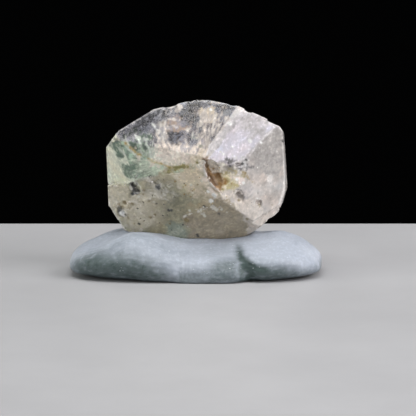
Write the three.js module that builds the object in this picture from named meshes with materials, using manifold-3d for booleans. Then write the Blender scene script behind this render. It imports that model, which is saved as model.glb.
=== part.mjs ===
// A phenakite crystal held upright in a pressed lump of soft putty.
// Units are millimetres. +X is to the viewer's right, +Y points away from the viewer and +Z is up.
// The origin is the middle of the putty's flat underside.
import * as THREE from "three";
import { ConvexGeometry } from "three/addons/geometries/ConvexGeometry.js";
import { mergeVertices, toCreasedNormals } from "three/addons/utils/BufferGeometryUtils.js";
import Module from "manifold-3d";

const wasm = await Module();
wasm.setup();

// The crystal's centre, 22 mm across and 19 mm tall around it.
const CRYSTAL_CENTRE = new THREE.Vector3(0.1, 0, 12.3);

// Every flat face of the crystal. A face looks along an azimuth, counter-clockwise from +X as the viewer
// sees it, at a tilt from the axis that points at the viewer. Reach is its distance from the centre.
const FACES = [
  // the low rhombohedron that meets near the middle of the front
  { name: "front upper left", azimuth: 112, tilt: 28, reach: 6.41 },
  { name: "front right", azimuth: -2, tilt: 26, reach: 5.83 },
  { name: "front left", azimuth: 212, tilt: 19.7, reach: 4.8 },
  { name: "front lower left", azimuth: 240, tilt: 27, reach: 4.26 },
  { name: "front foot", azimuth: 278, tilt: 38, reach: 5.41 },
  { name: "front right margin", azimuth: -14, tilt: 32, reach: 5.78 },
  { name: "front bevel", azimuth: 58, tilt: 15.5, reach: 6.43 },
  // the girdle
  { name: "right side", azimuth: 2.6, tilt: 86, reach: 10.7 },
  { name: "right lower corner", azimuth: -15.6, tilt: 84, reach: 10.9 },
  { name: "right upper corner", azimuth: 35.7, tilt: 94, reach: 11.5 },
  { name: "upper right side", azimuth: 65.6, tilt: 97, reach: 9.55 },
  { name: "top right", azimuth: 78.2, tilt: 98, reach: 9.02 },
  { name: "top", azimuth: 91, tilt: 99.5, reach: 8.8 },
  { name: "top left", azimuth: 102.7, tilt: 101, reach: 8.57 },
  { name: "upper left side", azimuth: 122.1, tilt: 102, reach: 9.05 },
  { name: "left upper corner", azimuth: 140.3, tilt: 98, reach: 10.4 },
  { name: "left side", azimuth: 182.1, tilt: 88, reach: 10.88 },
  { name: "left lower corner", azimuth: 210, tilt: 92, reach: 11.27 },
  { name: "lower left side", azimuth: 240, tilt: 90, reach: 10.65 },
  { name: "bottom", azimuth: 270, tilt: 90, reach: 9.7 },
  { name: "lower right corner", azimuth: 307.2, tilt: 88, reach: 9.88 },
  // the low rhombohedron behind
  { name: "back lower right", azimuth: 292, tilt: 158, reach: 6.2 },
  { name: "back upper right", azimuth: 54, tilt: 154, reach: 6.3 },
  { name: "back left", azimuth: 176, tilt: 156, reach: 6.03 },
  { name: "back bevel", azimuth: 234, tilt: 165, reach: 6.4 },
];

// The gap that touching solids keep between them.
const SEAT_GAP = 0.3;

// Scoops that broke or dissolved out of the crystal: a centre from the crystal's centre, three half-sizes,
// how far the scoop turns about the viewing axis and then about the upright, and how far a long one leans
// down towards the back, all in degrees.
const SCOOPS = [
  { name: "stained pit", at: [2.25, -5.5, 0.62], half: [0.95, 1.75, 2.15], turn: 25, detail: 4 },
  { name: "pit floor", at: [3.9, -6.37, 0.38], half: [2.4, 2.3, 2.7], turn: 12, swing: -24, detail: 4 },
  { name: "pit hollow", at: [5.95, -4.62, -0.76], half: [1.3, 1.35, 1.5], turn: 20, swing: -26, detail: 3 },
  { name: "etched groove", at: [5.2, -4.1, 1.65], half: [1.05, 0.4, 0.17], turn: -28, swing: -26 },
  { name: "diagonal groove", at: [5.2, -3.45, -2.6], half: [0.45, 0.6, 1.35], turn: 32, swing: -30 },
  { name: "small pit", at: [7.55, -1.85, -3.3], half: [0.45, 0.55, 0.35], turn: 0, swing: -30 },
  { name: "upper small pit", at: [7.4, -2.35, -2.2], half: [0.3, 0.45, 0.4], turn: 20, swing: -30 },
  { name: "top chip", at: [-3.6, -3.2, 9.3], half: [1.5, 1.6, 0.75], turn: 18 },
  { name: "top middle chip", at: [-1.3, -2.9, 9.9], half: [0.9, 1.8, 0.85], turn: 6 },
  { name: "top step", at: [5.9, -3.6, 9.35], half: [0.95, 1.6, 0.75], turn: -20 },
  { name: "upper right nick", at: [8.9, -2.4, 7.75], half: [0.6, 1.5, 0.6], turn: -30 },
  { name: "right rim nick", at: [11.25, -0.9, 3.9], half: [0.55, 0.9, 0.9], turn: 0 },
  { name: "left notch", at: [-11.25, 0.4, -1.75], half: [0.6, 1.6, 0.42], turn: 0 },
  { name: "right notch", at: [10.6, 1.4, -4.62], half: [0.6, 3.2, 0.5], turn: -35 },
  { name: "lower right notch", at: [9.15, 1.2, -6.05], half: [0.75, 3.2, 0.62], turn: -35 },
  { name: "top left nick", at: [-3.2, 0, 8.52], half: [1.25, 9, 0.5], turn: 12.7, lean: 11.3 },
  { name: "top middle nick", at: [-0.7, 0, 9.02], half: [0.5, 9, 0.35], turn: 6, lean: 11.3 },
  { name: "top right nick", at: [4.3, 0, 8.59], half: [0.7, 9, 0.3], turn: -12, lean: 8.2 },
  { name: "bevel nick", at: [6.3, 0, 7.92], half: [0.75, 9, 0.42], turn: -25, lean: 7.7 },
  { name: "left cavity", at: [-7.45, -2.35, -1.35], half: [0.5, 0.8, 0.75], turn: 30 },
  { name: "left cavity tail", at: [-7.0, -2.5, -2.0], half: [0.3, 0.5, 0.4], turn: 50, detail: 1 },
  { name: "lower left cavity", at: [-8.9, -0.55, -5.0], half: [0.35, 0.5, 0.5], turn: 20, detail: 1 },
  { name: "back chip", at: [4.6, 5.6, 5.0], half: [2.4, 1.3, 1.5], turn: 30, swing: 24, detail: 3 },
  { name: "back hollow", at: [-4.4, 5.6, -3.2], half: [1.8, 1.1, 1.2], turn: -20, swing: -22, detail: 3 },
  { name: "back rim chip", at: [-8.8, 3.2, 4.6], half: [1.3, 1.5, 1.2], turn: 40 },
  { name: "back low chip", at: [5.4, 4.6, -6.6], half: [1.6, 1.3, 0.9], turn: 30, swing: 20 },
];

// Growth ledges: beyond both a plane and a wall, the crystal is left out. The first plane lies a step below
// one of the crystal's faces or is steeper than it, and the wall is where the full height starts again.
const LEDGES = [
  {
    name: "left strip",
    plane: { azimuth: 203.4, tilt: 50, reach: 7.14 },
    wall: { azimuth: 97, tilt: 98, reach: -0.14 },
  },
  {
    name: "lower right step",
    plane: { azimuth: -14, tilt: 32, reach: 5.6 },
    wall: { azimuth: -62, tilt: 90, reach: 8.2 },
  },
  {
    name: "upper right step",
    plane: { azimuth: 65.6, tilt: 97, reach: 9.33 },
    wall: { azimuth: -24, tilt: 90, reach: 5.0 },
  },
  {
    name: "back left step",
    plane: { azimuth: 176, tilt: 156, reach: 5.75 },
    wall: { azimuth: 150, tilt: 90, reach: 5.6 },
  },
  {
    name: "back right step",
    plane: { azimuth: 54, tilt: 154, reach: 6.04 },
    wall: { azimuth: 20, tilt: 90, reach: 5.2 },
  },
  {
    name: "back lower step",
    plane: { azimuth: 292, tilt: 158, reach: 5.97 },
    wall: { azimuth: 300, tilt: 90, reach: 4.9 },
  },
];

// The putty's lump: half its length and half its depth.
const PUTTY_HALF_LENGTH = 15.4;
const PUTTY_HALF_DEPTH = 7.6;
const PUTTY_STATIONS = 64;
const PUTTY_SECTION_POINTS = 40;
// Along the length: how high the lump is, the height where it is widest, and how far its round underside
// would sink below that height if the floor had not flattened it.
const PUTTY_PROFILE = [
  { x: -15.4, top: 4.0, belly: 1.25, under: 1.6 },
  { x: -12.5, top: 4.25, belly: 1.75, under: 2.15 },
  { x: -8.5, top: 4.4, belly: 2.15, under: 2.6 },
  { x: -4.2, top: 4.45, belly: 1.5, under: 2.2 },
  { x: -1.0, top: 4.4, belly: 0.7, under: 1.7 },
  { x: 3.2, top: 4.3, belly: 0.75, under: 1.7 },
  { x: 6.6, top: 4.35, belly: 1.5, under: 2.1 },
  { x: 10.8, top: 4.4, belly: 1.8, under: 2.25 },
  { x: 15.4, top: 4.0, belly: 1.25, under: 1.6 },
];
// Rounded lobes and hollows over the lump: centre, spread and rise, seen from above.
const PUTTY_LOBES = [
  { x: -7.2, y: -4.0, spreadX: 3.9, spreadY: 3.0, rise: 1.6 },
  { x: -9.8, y: 3.4, spreadX: 4.4, spreadY: 3.4, rise: 0.95 },
  { x: 10.4, y: 0.6, spreadX: 3.9, spreadY: 5.2, rise: 1.05 },
  { x: 2.2, y: -4.6, spreadX: 4.2, spreadY: 3.4, rise: -0.62 },
  { x: 2.0, y: 4.6, spreadX: 5.0, spreadY: 2.6, rise: 0.35 },
  { x: -13.2, y: 0.4, spreadX: 1.9, spreadY: 5.0, rise: -0.35 },
];
// How far the front bellies out, or draws in where the thumb pressed it. The slanted ones lean along the
// length by their slant for every millimetre of height.
const PUTTY_FRONT_BULGES = [
  { x: -8.4, spread: 4.2, out: 0.1, slant: 0 },
  { x: 5.6, spread: 1.1, out: -0.95, slant: -0.75 },
  { x: 9.6, spread: 3.0, out: 0.25, slant: -0.3 },
  { x: -2.4, spread: 1.7, out: -0.25, slant: 0.5 },
];

// Edges sharper than this angle, in radians, show as edges.
const CREASE_ANGLE = 0.45;

// A closed manifold-3d solid made from a three.js geometry.
function solidOf(geometry) {
  const bare = geometry.clone();
  bare.deleteAttribute("normal");
  bare.deleteAttribute("uv");
  const merged = mergeVertices(bare, 1e-4);
  return new wasm.Manifold(
    new wasm.Mesh({
      numProp: 3,
      vertProperties: new Float32Array(merged.attributes.position.array),
      triVerts: new Uint32Array(merged.index.array),
    }),
  );
}

// A three.js geometry made from a manifold-3d solid.
function geometryOf(solid) {
  const mesh = solid.getMesh();
  const geometry = new THREE.BufferGeometry();
  geometry.setAttribute("position", new THREE.BufferAttribute(new Float32Array(mesh.vertProperties), 3));
  geometry.setIndex(new THREE.BufferAttribute(new Uint32Array(mesh.triVerts), 1));
  return toCreasedNormals(geometry, CREASE_ANGLE);
}

// The outward normal of a face.
function normalOf({ azimuth, tilt }) {
  const around = THREE.MathUtils.degToRad(azimuth);
  const away = THREE.MathUtils.degToRad(tilt);
  return new THREE.Vector3(
    Math.sin(away) * Math.cos(around),
    -Math.cos(away),
    Math.sin(away) * Math.sin(around),
  );
}

// The convex body inside every face, each face moved outwards by a margin.
function bodyOf(faces, margin) {
  const planes = faces.map((face) => ({ normal: normalOf(face), reach: face.reach + margin }));
  const corners = [];
  const matrix = new THREE.Matrix3();
  for (let i = 0; i < planes.length; i++)
    for (let j = i + 1; j < planes.length; j++)
      for (let k = j + 1; k < planes.length; k++) {
        const [a, b, c] = [planes[i], planes[j], planes[k]];
        matrix.set(...a.normal.toArray(), ...b.normal.toArray(), ...c.normal.toArray());
        if (Math.abs(matrix.determinant()) < 1e-4) continue;
        const corner = new THREE.Vector3(a.reach, b.reach, c.reach).applyMatrix3(matrix.invert());
        if (planes.every((plane) => corner.dot(plane.normal) < plane.reach + 1e-6)) corners.push(corner);
      }
  return new ConvexGeometry(corners).translate(...CRYSTAL_CENTRE.toArray());
}

// A smooth rounded hollow to take out of the crystal.
function scoopSolid({ at, half, turn, swing = 0, lean = 0, detail = 2 }) {
  const place = new THREE.Matrix4()
    .makeTranslation(CRYSTAL_CENTRE.clone().add(new THREE.Vector3(...at)))
    .multiply(new THREE.Matrix4().makeRotationZ(THREE.MathUtils.degToRad(swing)))
    .multiply(new THREE.Matrix4().makeRotationX(THREE.MathUtils.degToRad(-lean)))
    .multiply(new THREE.Matrix4().makeRotationY(THREE.MathUtils.degToRad(-turn)))
    .multiply(new THREE.Matrix4().makeScale(...half));
  return solidOf(new THREE.IcosahedronGeometry(1, detail).applyMatrix4(place));
}

// A big block that fills the far side of a plane.
function beyondPlane(plane) {
  const side = 80;
  const turn = new THREE.Quaternion().setFromUnitVectors(new THREE.Vector3(0, 0, 1), normalOf(plane));
  const block = new THREE.BoxGeometry(side, side, side).translate(0, 0, plane.reach + side / 2);
  return solidOf(block.applyQuaternion(turn).translate(...CRYSTAL_CENTRE.toArray()));
}

function crystalSolid() {
  let solid = solidOf(bodyOf(FACES, 0));
  for (const { plane, wall } of LEDGES) {
    solid = solid.subtract(beyondPlane(plane).intersect(beyondPlane(wall)));
  }
  for (const scoop of SCOOPS) solid = solid.subtract(scoopSolid(scoop));
  return solid;
}

const bell = (distance, spread) => Math.exp(-((distance / spread) ** 2));

// A smooth value between the rows of the lump's profile.
function profileAt(x, key) {
  const next = Math.max(1, PUTTY_PROFILE.findIndex((row) => row.x >= x));
  const [before, after] = [PUTTY_PROFILE[next - 1], PUTTY_PROFILE[next]];
  return THREE.MathUtils.lerp(before[key], after[key], THREE.MathUtils.smoothstep(x, before.x, after.x));
}

// One cross-section of the lump: points around it in the plane of one X, from the back over the top.
function puttySection(x) {
  const taper = (1 - (Math.abs(x) / PUTTY_HALF_LENGTH) ** 3.1) ** (1 / 3.1);
  const belly = profileAt(x, "belly");
  const top = (profileAt(x, "top") - belly) * taper;
  const under = profileAt(x, "under") * taper;
  const points = [];
  for (let i = 0; i < PUTTY_SECTION_POINTS; i++) {
    const angle = (2 * Math.PI * i) / PUTTY_SECTION_POINTS;
    const isUpper = Math.sin(angle) > 0;
    const power = isUpper ? 2 / 2.2 : 2 / 2.6;
    const across = Math.sign(Math.cos(angle)) * Math.abs(Math.cos(angle)) ** power;
    const up = Math.abs(Math.sin(angle)) ** power;
    const level = Math.max(isUpper ? belly + top * up : belly - under * up, 0);
    const bulge = PUTTY_FRONT_BULGES.reduce(
      (sum, each) => sum + each.out * bell(x - each.x - each.slant * (level - 2), each.spread),
      0,
    );
    const y = (PUTTY_HALF_DEPTH * across - bulge * Math.max(0, -across)) * taper;
    const rise = PUTTY_LOBES.reduce(
      (sum, lobe) => sum + lobe.rise * bell(x - lobe.x, lobe.spreadX) * bell(y - lobe.y, lobe.spreadY),
      0,
    );
    const z = isUpper ? level + rise * taper * Math.sin(angle) : level;
    points.push(new THREE.Vector3(x, y, z));
  }
  return points;
}

// The lump as it would be with no crystal in it, closed to a point at each end.
function lumpGeometry() {
  const positions = [];
  const indices = [];
  const n = PUTTY_SECTION_POINTS;
  positions.push(-PUTTY_HALF_LENGTH, 0, profileAt(-PUTTY_HALF_LENGTH, "belly"));
  for (let s = 1; s < PUTTY_STATIONS; s++) {
    const x = PUTTY_HALF_LENGTH * Math.sin(Math.PI * (s / PUTTY_STATIONS - 0.5));
    for (const point of puttySection(x)) positions.push(...point.toArray());
  }
  positions.push(PUTTY_HALF_LENGTH, 0, profileAt(PUTTY_HALF_LENGTH, "belly"));
  const last = positions.length / 3 - 1;
  for (let i = 0; i < n; i++) {
    const next = (i + 1) % n;
    indices.push(0, 1 + next, 1 + i);
    indices.push(last, last - n + i, last - n + next);
  }
  for (let s = 0; s < PUTTY_STATIONS - 2; s++)
    for (let i = 0; i < n; i++) {
      const a = 1 + s * n + i;
      const b = 1 + s * n + ((i + 1) % n);
      indices.push(a, b, b + n, a, b + n, a + n);
    }
  const geometry = new THREE.BufferGeometry();
  geometry.setAttribute("position", new THREE.Float32BufferAttribute(positions, 3));
  geometry.setIndex(indices);
  return geometry;
}

// The lump with the crystal's seat pressed into it.
function puttySolid() {
  return solidOf(lumpGeometry()).subtract(solidOf(bodyOf(FACES, SEAT_GAP)));
}

function namedMesh(name, solid, material) {
  const mesh = new THREE.Mesh(geometryOf(solid), material);
  mesh.name = name;
  return mesh;
}

const clearCrystal = new THREE.MeshStandardMaterial({ color: 0xd9d4cc, roughness: 0.18, metalness: 0 });
const paleBluePutty = new THREE.MeshStandardMaterial({ color: 0xaab4b8, roughness: 0.62, metalness: 0 });

const specimen = new THREE.Group();
specimen.add(namedMesh("crystal", crystalSolid(), clearCrystal));
specimen.add(namedMesh("putty", puttySolid(), paleBluePutty));

export default specimen;
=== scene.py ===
"""Looks of a phenakite crystal that stands on edge in a pressed lump of soft putty.

The crystal is clear, with etched and frosted faces, healed fractures inside and iron stain along an
old crack. Sizes in the classes are millimetres in the part's own frame, and meshes are in metres.
"""

import logging
import math
from dataclasses import dataclass
from enum import Enum

import bmesh
import bpy
import numpy as np
from mathutils import Matrix, Vector, noise
from mathutils.bvhtree import BVHTree


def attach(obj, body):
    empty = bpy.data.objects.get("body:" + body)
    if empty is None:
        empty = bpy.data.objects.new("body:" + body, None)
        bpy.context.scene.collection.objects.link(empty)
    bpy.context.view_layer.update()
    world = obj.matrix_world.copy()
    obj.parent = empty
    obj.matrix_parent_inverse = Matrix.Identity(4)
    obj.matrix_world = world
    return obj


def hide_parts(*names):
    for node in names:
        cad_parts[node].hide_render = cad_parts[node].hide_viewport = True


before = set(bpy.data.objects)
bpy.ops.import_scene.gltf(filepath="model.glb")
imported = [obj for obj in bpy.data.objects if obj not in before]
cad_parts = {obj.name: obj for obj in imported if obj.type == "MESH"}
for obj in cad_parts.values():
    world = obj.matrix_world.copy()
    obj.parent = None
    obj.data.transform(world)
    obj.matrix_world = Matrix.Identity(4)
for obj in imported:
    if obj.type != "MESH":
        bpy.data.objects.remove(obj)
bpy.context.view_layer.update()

MM = 0.001
BODY = "root"

# The photograph looks down by 10 degrees, so a place further back shows higher up by this slope.
VIEW_SLOPE = 0.1763
# CAD vertices closer than this, in metres, are one.
SAME_PLACE = 1e-7
# How close the feathers of a mark stand round their root, and how short they are along it.
FEATHERS_ROUND = 13.0
FEATHERS_ALONG = 0.6
# A spot is a short line that leans over by these shares of its half width, and hides this much.
SPOT_LEAN = (0.6, -0.5)
SPOT_COVER = 0.96

Colour = tuple[float, float, float]
Point = tuple[float, float]
Place = tuple[float, float, float]

log = logging.getLogger("phenakite")


def direction(azimuth: float, tilt: float) -> np.ndarray:
    """The unit vector at an azimuth in the front view and a tilt from the viewer, in degrees."""
    around, away = math.radians(azimuth), math.radians(tilt)
    flat = math.sin(away)
    return np.array([flat * math.cos(around), -math.cos(away), flat * math.sin(around)])


class Facet(Enum):
    """The crystal's flat faces: azimuth and tilt in degrees and reach in millimetres.

    A face looks along its azimuth, counter-clockwise from +X as the viewer sees it, at its tilt from
    the axis that points at the viewer. Its reach is its distance from the crystal's centre.
    """

    WINDOW = (112.0, 28.0, 6.41)
    RIGHT = (-2.0, 26.0, 5.83)
    LEFT = (212.0, 19.7, 4.8)
    LOWER = (240.0, 27.0, 4.26)
    FOOT = (278.0, 38.0, 5.41)
    MARGIN = (-14.0, 32.0, 5.78)
    BEVEL = (58.0, 15.5, 6.43)
    STRIP = (203.4, 50.0, 7.14)
    BACK_LOWER = (292.0, 158.0, 6.2)
    BACK_RIGHT = (54.0, 154.0, 6.3)
    BACK_LEFT = (176.0, 156.0, 6.03)
    GIRDLE_RIGHT = (2.6, 86.0, 10.7)
    GIRDLE_TOP = (90.0, 99.0, 8.8)
    GIRDLE_LEFT = (182.1, 88.0, 10.88)
    GIRDLE_LOW_CORNER = (210.0, 92.0, 11.27)
    GIRDLE_LOW_LEFT = (240.0, 90.0, 10.65)
    GIRDLE_LOWER = (270.0, 90.0, 9.7)

    def normal(self) -> np.ndarray:
        """The face's outward normal."""
        azimuth, tilt, _ = self.value
        return direction(azimuth, tilt)

    def reach(self) -> float:
        """The face's distance from the crystal's centre."""
        return self.value[2]


@dataclass(frozen=True)
class Dressing:
    """How one face of the crystal is etched.

    Attributes:
        cover: how much of the face the frosting hides, from 0 to 1.
        tint: the frosting's colour.
        breakup: how strongly the frosting varies over the face.
    """

    cover: float
    tint: Colour
    breakup: float = 0.2


DRESSINGS: dict[Facet, Dressing] = {
    Facet.WINDOW: Dressing(0.20, (0.40, 0.40, 0.46), 0.3),
    Facet.RIGHT: Dressing(0.90, (0.78, 0.745, 0.82), 0.05),
    Facet.LEFT: Dressing(0.66, (0.42, 0.54, 0.40), 0.45),
    Facet.LOWER: Dressing(0.93, (0.34, 0.31, 0.20), 0.16),
    Facet.FOOT: Dressing(0.86, (0.39, 0.325, 0.215), 0.15),
    Facet.MARGIN: Dressing(0.88, (0.54, 0.49, 0.455), 0.16),
    Facet.BEVEL: Dressing(0.88, (0.71, 0.67, 0.64), 0.12),
    Facet.STRIP: Dressing(0.93, (0.86, 0.865, 0.69), 0.08),
    Facet.BACK_LOWER: Dressing(0.50, (0.84, 0.79, 0.70), 0.5),
    Facet.BACK_RIGHT: Dressing(0.34, (0.88, 0.85, 0.84), 0.5),
    Facet.BACK_LEFT: Dressing(0.30, (0.84, 0.87, 0.80), 0.5),
    Facet.GIRDLE_RIGHT: Dressing(0.55, (0.92, 0.88, 0.84), 0.3),
    Facet.GIRDLE_TOP: Dressing(0.32, (0.90, 0.88, 0.88), 0.4),
    Facet.GIRDLE_LEFT: Dressing(0.55, (0.90, 0.90, 0.78), 0.3),
    Facet.GIRDLE_LOW_CORNER: Dressing(0.88, (0.58, 0.53, 0.40), 0.15),
    Facet.GIRDLE_LOW_LEFT: Dressing(0.88, (0.52, 0.47, 0.35), 0.15),
    Facet.GIRDLE_LOWER: Dressing(0.86, (0.50, 0.45, 0.32), 0.2),
}


@dataclass(frozen=True)
class Mark:
    """A milky, stained or bared place on the crystal's front, or a place of painted shade or painted
    highlight, as outlined from the front.

    Attributes:
        name: what it is.
        points: its outline, or the line that it follows, across and up in millimetres.
        tint: its colour.
        cover: how much of the crystal it hides.
        width: half the width of a line, or 0 where the points are a closed outline.
        soft: how wide its faded rim is.
        ragged: how far its rim wanders.
        patchy: how much of its inside is broken up, from 0 to 1.
        root: where its feathers fan out from, for a mark that is feathery.
        seed: shifts the pattern of its feathers.
    """

    name: str
    points: list[Point]
    tint: Colour
    cover: float
    width: float = 0.0
    soft: float = 0.25
    ragged: float = 0.4
    patchy: float = 0.2
    root: Point | None = None
    seed: int = 0

    def mask(
        self, across: np.ndarray, up: np.ndarray, wander: np.ndarray, breakup: np.ndarray
    ) -> np.ndarray:
        """How strongly the mark shows at every point.

        Args:
            across: the points' places across the front view.
            up: the points' places up the front view.
            wander: coarse noise that moves the rim.
            breakup: fine noise that thins the inside.

        Returns:
            One value from 0 to 1 for each point.
        """
        if self.width:
            away = distance_to_line(across, up, self.points) - self.width
        else:
            away = distance_to_line(across, up, [*self.points, self.points[0]])
            away = np.where(is_inside(across, up, self.points), -away, away)
        if self.root is not None:
            angle = np.arctan2(up - self.root[1], across - self.root[0])
            length = np.hypot(up - self.root[1], across - self.root[0])
            rays = np.c_[angle * FEATHERS_ROUND, length * FEATHERS_ALONG, np.zeros(len(angle))]
            far = max(math.dist(point, self.root) for point in self.points)
            fingers = turbulence(rays, 1.0, 4, self.seed) * smoothstep(0.35 * far, 0.75 * far, length)
            wander = 0.35 * wander + fingers
            breakup = 0.4 * breakup + turbulence(rays * 1.7, 1.0, 4, self.seed + 0.5)
        edge = smoothstep(self.soft, -self.soft, away + self.ragged * wander)
        return edge * (1.0 - self.patchy * smoothstep(-0.15, 0.35, breakup))


def spots(name: str, tint: Colour, places: list[Place]) -> list[Mark]:
    """Small round marks of one colour.

    Args:
        name: what they are.
        tint: their colour.
        places: each spot's place across and up and its half width, in millimetres.

    Returns:
        One mark for each spot.
    """
    lean, drop = SPOT_LEAN
    look = {"soft": 0.1, "ragged": 0.15, "patchy": 0.1}
    return [
        Mark(name, [(x, y), (x + lean * size, y + drop * size)], tint, SPOT_COVER, width=size, **look)
        for x, y, size in places
    ]


def strokes(tint: Colour, cover: float, lines: dict[str, list[Point]], **look: float) -> list[Mark]:
    """Thin line marks that look alike.

    Args:
        tint: their colour.
        cover: how much of the crystal they hide.
        lines: each stroke's line by its name.
        look: the strokes' width and rim, as a mark's.

    Returns:
        One mark for each line.
    """
    return [Mark(name, line, tint, cover, **look) for name, line in lines.items()]


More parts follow.
